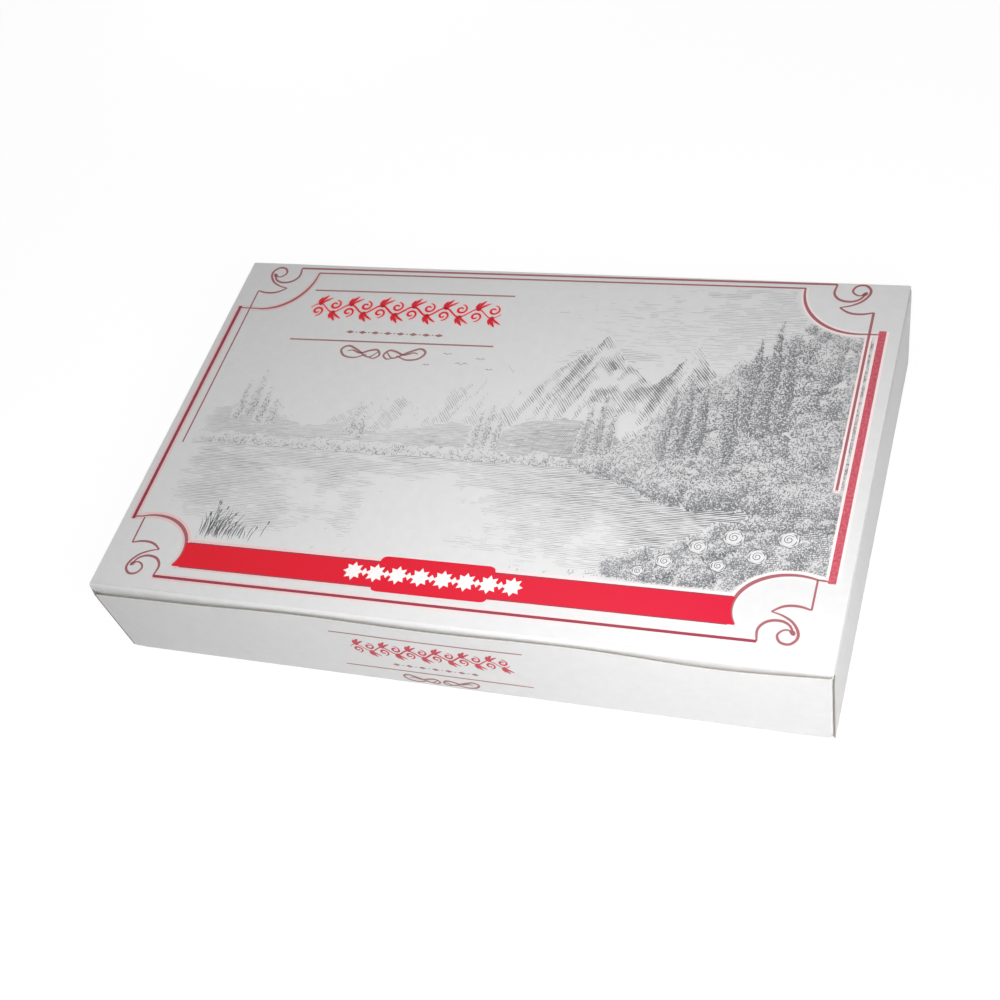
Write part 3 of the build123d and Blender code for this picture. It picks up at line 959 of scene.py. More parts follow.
def paint_land(tone, layer):
    """Sky with heaped clouds, mountains lit from the left, rounded foothills."""
    heap = layered_noise(P / 30 + 3, Q / 15 + 8, 11, 5)
    cloud = ramp(heap + 0.10 * np.sin(P / 19), 0.50, 0.60) * ramp(Q, 8, 30)
    under = np.clip(heap - layered_noise(P / 30 + 3, (Q + 3.0) / 15 + 8, 11, 5), -0.2, 0.2)
    tone[:] = 0.03 + 0.17 * ramp(P, -90, 100) * ramp(Q, -5, 70)
    tone[:] = tone * (1 - 0.85 * cloud) + cloud * np.clip(0.06 + 2.2 * under, 0.0, 0.3) * ramp(P, -90, 10)

    peaks = [(30, 50, 62), (-6, 33, 52), (66, 44, 46), (-44, 17, 46), (-92, 8, 40)]
    depth = ridge_line(peaks, 0.9, 2.6, 21)[None, :] - Q
    rock = layered_noise((P + 0.55 * depth) / 17, depth / 34 + 4, 31, 5)
    shifted = layered_noise((P + 2.2 + 0.55 * depth) / 17, depth / 34 + 4, 31, 5)
    spine = np.abs(layered_noise((P - 0.4 * depth) / 26, depth / 50, 41, 3) - 0.5) * 2
    shade = np.clip(0.29 + (shifted - rock) * 4.5 + 0.35 * (spine - 0.35), 0.03, 0.55)
    snow = ramp(layered_noise(P / 5, Q / 5, 51, 3) + (Q - 40) / 26, 0.45, 0.75)
    haze = (0.4 + 0.6 * ramp(Q, SHORE, 34)) * (1 - 0.55 * snow) * (0.55 + 0.45 * ramp(P, -90, 10))
    on = depth > 0
    tone[on], layer[on] = (shade * haze)[on], ROCK

    mounds = [(-14, 1, 46), (24, 6, 44), (-62, -3, 40), (-110, 4, 46), (60, 2, 40)]
    depth = ridge_line(mounds, 1.9, 1.6, 61)[None, :] - Q
    hills = 0.20 + 0.34 * layered_noise(P / 8, Q / 4, 71, 4) + 0.12 * ramp(depth, 0, 9)
    on = depth > 0
    tone[on], layer[on] = (hills * (0.7 + 0.3 * ramp(P, -60, 60)))[on], HILL

    foot = slope_foot(FIELD_P)[None, :]
    on = Q < foot
    tone[on], layer[on] = 0.12, WATER


def paint_crown(tone, layer, p, q, wide, high, base, seed):
    """One tree crown or bush: lit at its upper left, dark below, with a leafy edge."""
    i0, i1 = np.searchsorted(FIELD_P, [p - wide * 1.4, p + wide * 1.4])
    j0, j1 = np.searchsorted(FIELD_Q, [q - high * 1.4, q + high * 1.4])
    x, y = P[j0:j1, i0:i1], Q[j0:j1, i0:i1]
    if x.size == 0:
        return
    dx, dy = (x - p) / wide, (y - q) / high
    inside = np.hypot(dx, dy) + 0.45 * (layered_noise(x / 1.6 + seed, y / 1.6, seed % 97, 2) - 0.5) < 1
    light = np.clip(-0.55 * dx + 0.75 * dy, -1, 1)
    clumps = layered_noise(x / 2.4, y / 2.0 + seed, seed % 89, 2) - 0.5
    tone[j0:j1, i0:i1][inside] = np.clip(base - 0.34 * light + 0.6 * clumps, 0.03, 0.95)[inside]
    layer[j0:j1, i0:i1][inside] = LEAF


def paint_cypress(tone, layer, p, foot, top, half, base, seed):
    """A cypress: a tall dark spindle."""
    i0, i1 = np.searchsorted(FIELD_P, [p - half * 1.6, p + half * 1.6])
    j0, j1 = np.searchsorted(FIELD_Q, [foot, top])
    x, y = P[j0:j1, i0:i1], Q[j0:j1, i0:i1]
    t = (y - foot) / (top - foot)
    width = half * np.sin(np.pi * np.clip(t * 0.9 + 0.1, 0, 1) ** 0.55) ** 0.8 * (1 - t**3) ** 0.4
    inside = np.abs(x - p + 0.6 * (noise(x / 0.8, y / 1.1, seed) - 0.5)) < width
    value = np.clip(base - 0.28 * (p - x) / half + 0.3 * (noise(x / 0.9, y / 2.2, seed + 3) - 0.5), 0.1, 0.95)
    tone[j0:j1, i0:i1][inside] = value[inside]
    layer[j0:j1, i0:i1][inside] = LEAF


def paint_woods(tone, layer):
    """Trees: low along the far shore, cypresses on the hills, and the near slope from its top down."""
    rng = np.random.default_rng(5)
    for p in np.arange(-118, 42, 2.4):
        size = rng.uniform(1.2, 3.1)
        at = p + rng.uniform(-1, 1)
        base, seed = 0.38 + 0.1 * (p > 0), int(rng.integers(1e6))
        paint_crown(tone, layer, at, SHORE + size * 0.7, size * 1.3, size, base, seed)
    far = [(-108, -3, 17), (-103, -1, 24), (-98, -4, 15), (-93, -5, 9), (-58, -9, 9), (-54, -9, 4)]
    far += [(-8, -10, 8), (-4.5, -10, 13), (0, -10, 7), (33, -9, 15), (37.5, -10, 21), (42, -10, 13)]
    for p, foot, top in far:
        half, base = 1.5 + (top - foot) * 0.028, 0.5 + 0.12 * (p > 0)
        paint_cypress(tone, layer, p, foot, top, half, base, int(abs(p * 31)))
    crowns = []
    for p in rng.uniform(38, 130, 430):
        foot, top = slope_foot(p) + 1.5, slope_top(p)
        crowns.append((foot + (top - foot) * rng.uniform(0, 1) ** 0.85, p))
    for q, p in sorted(crowns, reverse=True):
        near = 1 - (q - SHORE) / 80
        size = (2.7 + 3.2 * near) * rng.uniform(0.7, 1.25) * (0.55 + 0.45 * ramp(p, 38, 62))
        paint_crown(tone, layer, p, q, size * 1.1, size, 0.56 + 0.10 * near, int(rng.integers(1e6)))
    near = [(62, -8, 25), (67, -8, 33), (73, -6, 27), (88, 6, 52), (94, 8, 60), (100, 12, 51), (84, -10, 26)]
    for p, foot, top in near:
        paint_cypress(tone, layer, p, foot, top, 2.0 + (top - foot) * 0.035, 0.70, p * 13)


def paint_water(tone, layer):
    """The lake: what stands over it mirrored dimly, ripples, a bright path and a darker near left corner."""
    foot = slope_foot(FIELD_P)[None, :]
    below = foot - Q
    rows = np.clip(np.round((foot + below - FIELD_Q[0]) / CELL).astype(int), 0, len(FIELD_Q) - 1)
    mirror = tone[rows, np.arange(len(FIELD_P))[None, :]]
    mirror = np.stack([np.roll(mirror, k, axis=1) for k in range(-8, 9)]).mean(0)
    ripple = layered_noise(P / 11, below / (0.9 + 0.06 * np.maximum(below, 0)), 81, 3)
    value = 0.08 + 0.62 * mirror * (1 - 0.55 * ramp(below, 0, 42)) + 0.40 * (ripple - 0.45)
    value = value + 0.15 * ramp(-P, 40, 115) * ramp(below, 6, 32) + 0.06 * ramp(below, 20, 45)
    value = value - 0.22 * np.exp(-(((P + 6 + 0.5 * below) / 24) ** 2)) * ramp(below, 1, 12)
    on = layer == WATER
    tone[on] = np.clip(value, 0.0, 0.8)[on]
    tone[on & (np.abs(below - 0.5) < 0.5)] = 0.5


def paint_bank(tone, layer):
    """The near bank in the right corner: rough grass under rose bushes, whose blossoms stay light."""
    rng = np.random.default_rng(17)

    def bank_top(p):
        return -61 + 29 * ramp(p, 36, 118) + 2.2 * (noise(p / 6, p * 0, 111) - 0.5)

    on = Q < bank_top(P)
    tone[on], layer[on] = (0.30 + 0.38 * layered_noise(P / 5, Q / 2.4, 113, 4))[on], BANK
    for p in rng.uniform(56, 130, 120):
        size = rng.uniform(1.8, 4.0)
        q = rng.uniform(-60, float(bank_top(np.array(p))) + 2.5)
        paint_crown(tone, layer, p, q, size * 1.25, size, 0.64, int(rng.integers(1e6)))
    for p, q, radius in BLOSSOMS:
        tone[np.hypot(P - p, Q - q) < radius * (0.92 + 0.1 * np.cos(5 * np.arctan2(Q - q, P - p)))] = 0


def from_corner(arcs, p, q, side):
    """0 on a corner's arc, below 0 in its hollow, 1 at twice its reach."""
    (middle_p, middle_q), (reach_p, reach_q) = arcs[side]
    return np.hypot((p - side * middle_p) / reach_p, (q - middle_q) / reach_q) - 1


# The clear space round the vine and its rules: its middle and half its reach each way
CLEAR_P, CLEAR_Q, CLEAR_HALF_P, CLEAR_HALF_Q = -56, 50, 48, 22


def vignette():
    """1 inside the picture, fading unevenly to 0 at the frame and round the vine and its rules."""
    wobble = (layered_noise(P / 6, Q / 4, 121, 4) - 0.5) * 9
    inside = np.minimum(np.minimum(np.where(P > 0, 127.6 - P, 124.0 + P), Q + 61.9), 75.6 - Q)
    for side in (-1, 1):
        inside = np.minimum(inside, 20 * from_corner(BACK_ARCS, P, Q, side) - 1.5)
        inside = np.minimum(inside, 16 * from_corner(FRONT_ARCS, P, Q, side) - 1.7)
    plaque = np.maximum(np.abs(P - PLAQUE_P) - PLAQUE_HALF - 1.6, Q - PLAQUE_TOP - 1.6)
    inside = np.minimum(inside, plaque)
    right = ramp(P, 10, 75)
    reach = 13 - 12.2 * right
    soft = ramp((inside + wobble * (0.9 - 0.9 * right)) / reach, -0.1, 1)
    clear = np.maximum(np.abs(P - CLEAR_P) - CLEAR_HALF_P, np.abs(Q - CLEAR_Q) - CLEAR_HALF_Q) + wobble
    return (inside > 0.3) * soft * (0.05 + 0.95 * ramp(clear, -3, 26))


def sample(field, points):
    """A field's values at points."""
    i = np.clip(np.round((points[..., 0] - FIELD_P[0]) / CELL).astype(int), 0, len(FIELD_P) - 1)
    j = np.clip(np.round((points[..., 1] - FIELD_Q[0]) / CELL).astype(int), 0, len(FIELD_Q) - 1)
    return field[j, i]


def ruled(picture, layers, angle, spacing, step, seed, gain=1.0, bias=0.0, bend=0.0, least=0.07, most=0.8):
    """Parallel hand-cut lines at an angle in degrees, as wide as the tone is deep and broken where pale."""
    tone, layer = picture
    turn = math.radians(angle)
    along, across = np.array([math.cos(turn), math.sin(turn)]), np.array([-math.sin(turn), math.cos(turn)])
    rows, t = np.arange(-150, 150, spacing)[:, None], np.arange(-150, 150, step)[None, :]
    tremble = 0.35 * spacing * (noise(t / 3.5, rows * 3.1, seed + 1) - 0.5)
    offset = bend * (noise(t / 22, rows / 30, seed) - 0.5) + tremble
    points = t[..., None] * along + (rows + offset)[..., None] * across
    grain = noise(points[..., 0] / 0.9, points[..., 1] / 0.9, seed + 2) - 0.5
    breaks = noise(t / 3.0, rows * 7.7 + 5, seed + 4) - 0.5
    cover = (sample(tone, points) - bias) * gain * (1 + 0.5 * grain + 1.1 * breaks)
    widths = np.where(np.isin(sample(layer, points), layers), np.minimum(cover, most), 0) * spacing
    inside = (np.abs(points[..., 0]) < 127.8) & (points[..., 1] > -62) & (points[..., 1] < 76)
    drawn = (widths > least * spacing) & inside
    run = np.cumsum((np.diff(drawn.astype(np.int8), axis=1, prepend=0) == 1).ravel())
    keep = drawn.ravel()
    return points.reshape(-1, 2)[keep], widths.ravel()[keep], run[keep]


def dabs(picture, layers, spacing, length, width, seed, gain=1.0, power=1.0, angle=None):
    """Short curved leaf strokes strewn where there is tone."""
    tone, layer = picture
    rng, steps = np.random.default_rng(seed), 4
    p, q = np.meshgrid(np.arange(-126, 127.4, spacing), np.arange(-62, 76, spacing))
    centre = np.stack([p.ravel(), q.ravel()], 1) + rng.uniform(-0.5, 0.5, (p.size, 2)) * spacing
    cover = sample(tone, centre) * gain
    keep = np.isin(sample(layer, centre), layers) & (rng.random(len(centre)) < cover**power)
    centre, cover = centre[keep], cover[keep]
    count = len(centre)
    if angle is None:
        heading = rng.uniform(0, 2 * np.pi, count)
    else:
        heading = np.radians(angle) + rng.normal(0, 0.35, count)
    turned = heading[:, None] + rng.uniform(-1.3, 1.3, count)[:, None] * np.linspace(-0.5, 0.5, steps)
    pace = length * rng.uniform(0.6, 1.3, count) / (steps - 1)
    points = np.cumsum(np.stack([np.cos(turned), np.sin(turned)], 2) * pace[:, None, None], axis=1)
    points = points - points.mean(1, keepdims=True) + centre[:, None]
    swell = np.sin(np.pi * np.linspace(0.12, 0.9, steps))
    widths = (width * (0.55 + 0.6 * np.minimum(cover, 1)))[:, None] * swell
    return points.reshape(-1, 2), widths.ravel(), np.repeat(np.arange(count), steps)


def blossom_strokes():
    """The petals of the open roses, as a few curved cuts round each heart."""
    strokes = []
    for p, q, radius in BLOSSOMS:
        strokes.append(spiral((p, q), 0.55 * radius, 0.12 * radius, 40, 1.6, 0.16, 0.3))
        for k in range(5):
            strokes.append(arc((p, q), radius * (0.74 + 0.1 * (k % 2)), 72 * k + 8, 72 * k + 66, 0.12, 0.34))
            strokes.append(arc((p, q), radius * 0.97, 72 * k - 20, 72 * k + 24, 0.14, 0.4))
    return strokes


def bird_strokes():
    """Five far birds."""
    strokes = []
    for p, q, size in [(-24, 30, 2.6), (-17, 33, 2.0), (-31, 35, 1.8), (-12, 28, 1.5), (-38, 29, 1.4)]:
        for side in (-1, 1):
            wing = [(p, q), (p + side * 0.5 * size, q + 0.45 * size), (p + side * size, q + 0.2 * size)]
            strokes.append(curve(wing, 0.1, 0.3))
    return strokes


def reed_strokes():
    """Reeds in the near left corner, with a few seed heads."""
    rng = np.random.default_rng(29)
    strokes = []
    for _ in range(90):
        p, lean = -100 + rng.normal(0, 12), rng.normal(0.1, 0.22)
        high = rng.uniform(5, 17) * max(0.35, 1 - abs(p + 100) / 34)
        root = (p, -61 + rng.uniform(0, 3))
        if from_corner(FRONT_ARCS, p, root[1], -1) < 0.2 or p > -60:
            continue
        tip = np.array([p + lean * high, root[1] + high])
        strokes.append(curve([root, (p + 0.3 * lean * high, root[1] + 0.6 * high), tip], 0.1, 0.32))
        if rng.random() < 0.25:
            strokes.append((tip + [(0, 0), (0.1, 0.9), (0.2, 1.8)], np.array([0.2, 0.8, 0.2])))
    return strokes


def make_tint(tone, layer):
    """The flat grey wash under the engraved lines, deeper where they are dense."""
    step = 3
    tone = tone * np.where(layer == SKY, 0.2, np.where(layer == LEAF, 1.35, 0.45))
    wash = sum(np.roll(np.roll(tone, a, 0), b, 1) for a in (-4, 0, 4) for b in (-4, 0, 4)) / 9
    wash = np.minimum(0.5 * wash, DEEPEST_WASH)[::step, ::step]
    wash = wash * (0.75 + 0.5 * layered_noise(P / 1.3, Q / 1.3, 401, 2)[::step, ::step])
    grid = np.stack([P[::step, ::step], Q[::step, ::step]], 2)
    quads = grid_quads(*wash.shape)
    quads = quads[wash.ravel()[quads].max(1) > PALEST_WASH]
    used, corners = np.unique(quads, return_inverse=True)
    points = on_lid(grid.reshape(-1, 2)[used], WASH_LIFT) * MM
    film = mesh_object("engraving_tint", points, corners.reshape(-1, 4), [TINT_INK])
    depth = film.data.attributes.new("tint", "FLOAT", "POINT")
    depth.data.foreach_set("value", np.clip(wash.ravel()[used], 0, 1).astype(np.float32))
    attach(film, "lid")


def make_engraving():
    """The picture in two greys: its tones painted as fields, then cut in lines and dabs over a thin wash."""
    tone, layer = np.zeros(P.shape), np.full(P.shape, SKY, np.int8)
    paint_land(tone, layer)
    paint_woods(tone, layer)
    paint_water(tone, layer)
    paint_bank(tone, layer)
    picture = tone * vignette() * (0.62 + 0.38 * ramp(P, -10, 85)), layer
    peaks = ruled(picture, [ROCK], -52.0, 0.85, 0.8, 211, 1.1, bend=2.5)
    crossed_peaks = ruled(picture, [ROCK], 58.0, 0.9, 0.8, 221, 0.95, bias=0.2, bend=2.0)
    hills = ruled(picture, [HILL], 8.0, 0.58, 0.8, 231, bend=3.0)
    crossed_hills = ruled(picture, [HILL], 70.0, 0.66, 0.8, 235, 0.9, bias=0.2, bend=1.0)
    grass = dabs(picture, [BANK], 0.6, 1.6, 0.26, 261, 1.15, angle=80)
    crossed_grass = ruled(picture, [BANK], 14.0, 0.8, 0.8, 263, 0.7, bend=3.0)
    parts = {
        "engraved_sky": (GREY_INK, [ruled(picture, [SKY], 0.0, 0.85, 1.5, 201, 0.6, bend=0.6)]),
        "engraved_mountains": (GREY_INK, [peaks, crossed_peaks]),
        "engraved_hills": (GREY_INK, [hills, crossed_hills]),
        "engraved_leaves": (LEAF_INK, [dabs(picture, [LEAF], 0.58, 1.05, 0.33, 241, 1.05)]),
        "engraved_leaf_shadows": (LEAF_INK, [dabs(picture, [LEAF], 0.72, 0.85, 0.42, 243, 1.15, 2.0)]),
        "engraved_lake": (GREY_INK, [ruled(picture, [WATER], 0.0, 0.74, 1.2, 251, bend=0.5)]),
        "engraved_bank": (LEAF_INK, [grass, crossed_grass]),
    }
    for name, (ink, ribbons) in parts.items():
        ink_piece(name, on_lid, ENGRAVED_LIFT, ink, ribbons=ribbons)
    make_tint(*picture)
    details = blossom_strokes() + bird_strokes() + reed_strokes()
    ink_piece("engraved_details", on_lid, DETAIL_LIFT, GREY_INK, details)


# ---------------------------------------- the contents: sweets on a paper liner

def jelly_shader(jelly, dust_share, nuts=None):
    """Starch jelly under icing sugar: soft tinted gum, faintly clear, most of it hidden by the dust."""

    def build(tree):
        coordinates = add_node(tree, "ShaderNodeTexCoord").outputs
        place, normal = coordinates["Object"], coordinates["Normal"]
        up = add_node(tree, "ShaderNodeSeparateXYZ", {"Vector": normal}).outputs["Z"]
        drifts = {"Vector": place, "Scale": 1 / (6.667 * MM), "Detail": 8.0, "Roughness": 0.7}
        settled = {0: up, 1: 0.05, 2: add_node(tree, "ShaderNodeTexNoise", drifts).outputs["Fac"]}
        lift = add_node(tree, "ShaderNodeMath", settled, operation="MULTIPLY_ADD").outputs["Value"]
        limits = {"Value": lift, "From Min": 0.58 - dust_share / 2, "From Max": 0.86 - dust_share / 2}
        limits |= {"To Min": 0.3, "To Max": 0.93}
        dust = add_node(tree, "ShaderNodeMapRange", limits).outputs["Result"]
        gum = mottled(tree, jelly, 3.846, 0.12, 3.0)
        if nuts:
            chips = {"Vector": place, "Scale": 1 / (4.167 * MM)}
            cells = add_node(tree, "ShaderNodeTexVoronoi", chips).outputs
            pick = add_node(tree, "ShaderNodeSeparateColor", {"Color": cells["Color"]}).outputs["Red"]
            chosen = add_node(tree, "ShaderNodeMath", {0: pick, 1: 0.66}, operation="GREATER_THAN")
            near = add_node(tree, "ShaderNodeMath", {0: cells["Distance"], 1: 0.44}, operation="LESS_THAN")
            both = {0: chosen.outputs["Value"], 1: near.outputs["Value"]}
            nut = add_node(tree, "ShaderNodeMath", both, operation="MULTIPLY").outputs["Value"]
            studded = {0: nut, 6: gum, 7: colour(nuts)}
            gum = add_node(tree, "ShaderNodeMix", studded, data_type="RGBA").outputs[2]
        dusted = {0: dust, 6: gum, 7: colour("#F3EDE6")}
        dryness = {"Value": dust, "To Min": 0.42, "To Max": 0.95}
        values = {
            "Base Color": add_node(tree, "ShaderNodeMix", dusted, data_type="RGBA").outputs[2],
            "Roughness": add_node(tree, "ShaderNodeMapRange", dryness).outputs["Result"],
            "IOR": 1.42,
            "Subsurface Weight": 0.3,
            "Subsurface Radius": (1.0, 0.6, 0.45),
            "Subsurface Scale": 2 * MM,
            "Normal": fibre_relief(tree, 0.5, 0.12),
        }
        return add_node(tree, "ShaderNodeBsdfPrincipled", values).outputs["BSDF"]

    return build


def sugar_shader(tree):
    """Icing sugar with a little starch: white, matt and grainy.
    Its grit is too fine to show at its own 0.05 mm, so it is drawn at 0.2 mm."""
    grit = fibre_relief(tree, 0.2, 0.05)
    values = {"Base Color": mottled(tree, "#F1ECE4", 1.111, 0.05), "Roughness": 0.95, "Normal": grit}
    return add_node(tree, "ShaderNodeBsdfPrincipled", values).outputs["BSDF"]


def greaseproof_shader(tree):
    """Greaseproof paper: dense, faintly yellow and satin, with soft crinkles."""
    place = add_node(tree, "ShaderNodeTexCoord").outputs["Object"]
    folds = {"Vector": place, "Scale": 1 / (10.526 * MM)}
    crinkle = add_node(tree, "ShaderNodeTexVoronoi", folds, feature="DISTANCE_TO_EDGE").outputs["Distance"]
    limits = {"Value": crinkle, "From Max": 0.16}
    soft = add_node(tree, "ShaderNodeMapRange", limits).outputs["Result"]
    relief = {"Height": soft, "Distance": 0.5 * MM, "Strength": 0.6}
    values = {
        "Base Color": mottled(tree, "#E6DFCC", 8.333, 0.05),
        "Roughness": 0.5,
        "Normal": add_node(tree, "ShaderNodeBump", relief).outputs["Normal"],
    }
    return add_node(tree, "ShaderNodeBsdfPrincipled", values).outputs["BSDF"]


ROSE_SWEET = surface_material("rose_lokum", jelly_shader("#B8405E", 0.5))
LEMON_SWEET = surface_material("lemon_lokum", jelly_shader("#D8A83C", 0.5))
NUT_SWEET = surface_material("pistachio_lokum", jelly_shader("#A79A5C", 0.4, nuts="#5F7326"))
ICING_SUGAR = surface_material("icing_sugar", sugar_shader)
GREASEPROOF = surface_material("greaseproof_paper", greaseproof_shader)
LOKUM_PER_ROW = 10
LOKUM_ROWS = [ROSE_SWEET, NUT_SWEET, LEMON_SWEET, ROSE_SWEET, NUT_SWEET, LEMON_SWEET]  # from the front
LOKUM_GAP = 1.5
LOKUM_SWELL = 0.35  # of a sweet's half size, which its rounding and its sag take back


def new_tree(name, sockets):
    """A Geometry Nodes tree with named inputs. Gives the tree and the sockets that carry them."""
    tree = bpy.data.node_groups.new(name, "GeometryNodeTree")
    for socket, kind in sockets.items():
        tree.interface.new_socket(name=socket, in_out="INPUT", socket_type="NodeSocket" + kind)
    tree.interface.new_socket(name="Geometry", in_out="OUTPUT", socket_type="NodeSocketGeometry")
    return tree, tree.nodes.new("NodeGroupInput").outputs


def grown(name, tree, values):
    """The plain mesh object that a tree makes with these values."""
    holder = bpy.data.objects.new(name + "_tree", bpy.data.meshes.new(name))
    scene.collection.objects.link(holder)
    modifier = holder.modifiers.new("tree", "NODES")
    modifier.node_group = tree
    for socket in tree.interface.items_tree:
        if socket.in_out == "INPUT":
            modifier[socket.identifier] = values[socket.name]
    evaluated = holder.evaluated_get(bpy.context.evaluated_depsgraph_get())
    piece = bpy.data.objects.new(name, bpy.data.meshes.new_from_object(evaluated))
    bpy.data.objects.remove(holder)
    scene.collection.objects.link(piece)
    return piece


LUMPS_PER_METRE = 70.0  # the sags of a sweet's sides are about 14 mm wide


def lokum_tree():
    """A row of sweets cut with a wet knife: soft edges, uneven sagging sides, and grains of sugar on them."""
    sockets = {"Count": "Int", "Pitch": "Float", "Start": "Vector", "Half size": "Vector"}
    sockets |= {"Unevenness": "Float", "Grains": "Float", "Grain size": "Float", "Seed": "Int"}
    sockets |= {"Sweet": "Material", "Sugar": "Material"}
    tree, given = new_tree("lokum_row", sockets)
    seed, start = given["Seed"], given["Start"]

    block = {"Size": (2.0, 2.0, 2.0), "Vertices X": 6, "Vertices Y": 6, "Vertices Z": 6}
    cube = add_node(tree, "GeometryNodeMeshCube", block).outputs["Mesh"]
    soft = add_node(tree, "GeometryNodeSubdivisionSurface", {"Mesh": cube, "Level": 1}).outputs["Mesh"]
    lifted = {"Geometry": soft, "Translation": (0.0, 0.0, 1.0)}
    raised = add_node(tree, "GeometryNodeTransform", lifted).outputs["Geometry"]
    step = add_node(tree, "ShaderNodeCombineXYZ", {"X": given["Pitch"]}).outputs["Vector"]
    places = {"Count": given["Count"], "Start Location": start, "Offset": step}
    row = add_node(tree, "GeometryNodeMeshLine", places).outputs["Mesh"]
    lean = {0: (-0.018, -0.018, -0.05), 1: (0.018, 0.018, 0.05), "Seed": seed}
    turn = add_node(tree, "FunctionNodeRandomValue", lean, data_type="FLOAT_VECTOR").outputs[0]
    spread = {0: (0.955, 0.955, 0.93), 1: (1.0, 1.0, 1.0), "Seed": seed}
    share = add_node(tree, "FunctionNodeRandomValue", spread, data_type="FLOAT_VECTOR").outputs[0]
    sized = {0: share, 1: given["Half size"]}
    size = add_node(tree, "ShaderNodeVectorMath", sized, operation="MULTIPLY").outputs[0]
    cut = {"Points": row, "Instance": raised, "Rotation": turn, "Scale": size}
    blocks = add_node(tree, "GeometryNodeInstanceOnPoints", cut).outputs["Instances"]
    sweets = add_node(tree, "GeometryNodeRealizeInstances", {"Geometry": blocks}).outputs["Geometry"]

    place = add_node(tree, "GeometryNodeInputPosition").outputs["Position"]
    lumps = {"Vector": place, "Scale": LUMPS_PER_METRE, "Detail": 2.5}
    around_zero = {0: add_node(tree, "ShaderNodeTexNoise", lumps).outputs["Color"], 1: (0.5, 0.5, 0.5)}
    centred = add_node(tree, "ShaderNodeVectorMath", around_zero, operation="SUBTRACT").outputs[0]
    shift = {0: centred, "Scale": given["Unevenness"]}
    offset = add_node(tree, "ShaderNodeVectorMath", shift, operation="SCALE").outputs["Vector"]
    sagged = add_node(tree, "GeometryNodeSetPosition", {"Geometry": sweets, "Offset": offset}).outputs[0]
    spot = add_node(tree, "GeometryNodeInputPosition").outputs["Position"]
    parts = add_node(tree, "ShaderNodeSeparateXYZ", {"Vector": spot}).outputs
    floor = add_node(tree, "ShaderNodeSeparateXYZ", {"Vector": start}).outputs["Z"]
    kept = add_node(tree, "ShaderNodeMath", {0: parts["Z"], 1: floor}, operation="MAXIMUM").outputs["Value"]
    seated = add_node(tree, "ShaderNodeCombineXYZ", {"X": parts["X"], "Y": parts["Y"], "Z": kept})
    seat = {"Geometry": sagged, "Position": seated.outputs["Vector"]}
    flat = add_node(tree, "GeometryNodeSetPosition", seat).outputs["Geometry"]
    smooth = add_node(tree, "GeometryNodeSetShadeSmooth", {"Geometry": flat}).outputs["Geometry"]
    tinted = {"Geometry": smooth, "Material": given["Sweet"]}
    gum = add_node(tree, "GeometryNodeSetMaterial", tinted).outputs["Geometry"]

    strewn = {"Mesh": smooth, "Density": given["Grains"], "Seed": seed}
    spots = add_node(tree, "GeometryNodeDistributePointsOnFaces", strewn).outputs["Points"]
    ball = {"Radius": given["Grain size"], "Subdivisions": 1}
    grain = add_node(tree, "GeometryNodeMeshIcoSphere", ball).outputs["Mesh"]
    sizes = {2: 0.4, 3: 1.5, "Seed": seed}
    scale = add_node(tree, "FunctionNodeRandomValue", sizes, data_type="FLOAT").outputs[1]
    grains = {"Points": spots, "Instance": grain, "Scale": scale}
    grains = add_node(tree, "GeometryNodeInstanceOnPoints", grains).outputs["Instances"]
    sugared = {"Geometry": grains, "Material": given["Sugar"]}
    dust = add_node(tree, "GeometryNodeSetMaterial", sugared).outputs["Geometry"]
    both = add_node(tree, "GeometryNodeJoinGeometry", {"Geometry": gum})
    tree.links.new(dust, both.inputs["Geometry"])
    whole = add_node(tree, "GeometryNodeRealizeInstances", {"Geometry": both.outputs["Geometry"]})
    add_node(tree, "NodeGroupOutput", {"Geometry": whole.outputs["Geometry"]})
    return tree


def make_sweets():
    """Six rows of cut sweets, a flavour to a row."""
    tree = lokum_tree()
    for row, flavour in enumerate(LOKUM_ROWS):
        low, high = box_mm(f"lokum_row_{row + 1}")
        length = (high[0] - low[0] + LOKUM_GAP) / LOKUM_PER_ROW
        half = np.array([length - LOKUM_GAP, high[1] - low[1], high[2] - low[2]]) / 2
        values = {
            "Count": LOKUM_PER_ROW,
            "Pitch": length * MM,
            "Start": [(low[0] + half[0]) * MM, (low[1] + half[1]) * MM, low[2] * MM],
            "Half size": [h * MM for h in half + LOKUM_SWELL],
            "Unevenness": 2.2 * MM,
            "Grains": 6500.0,  # to a square metre
            "Grain size": 0.32 * MM,  # crumbs of sugar, because its grains are too fine to show
            "Seed": 11 + row,
            "Sweet": flavour,
            "Sugar": ICING_SUGAR,
        }
        sweets = grown(f"lokum_{row + 1}", tree, values)
        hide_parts(f"lokum_row_{row + 1}")
        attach(sweets, "base")


def crinkles(a, b, seed):
    """Sharp ridges of pressed paper, 0 to 1."""
    return 1 - np.abs(2 * layered_noise(a / 11, b / 11, seed, 3) - 1)


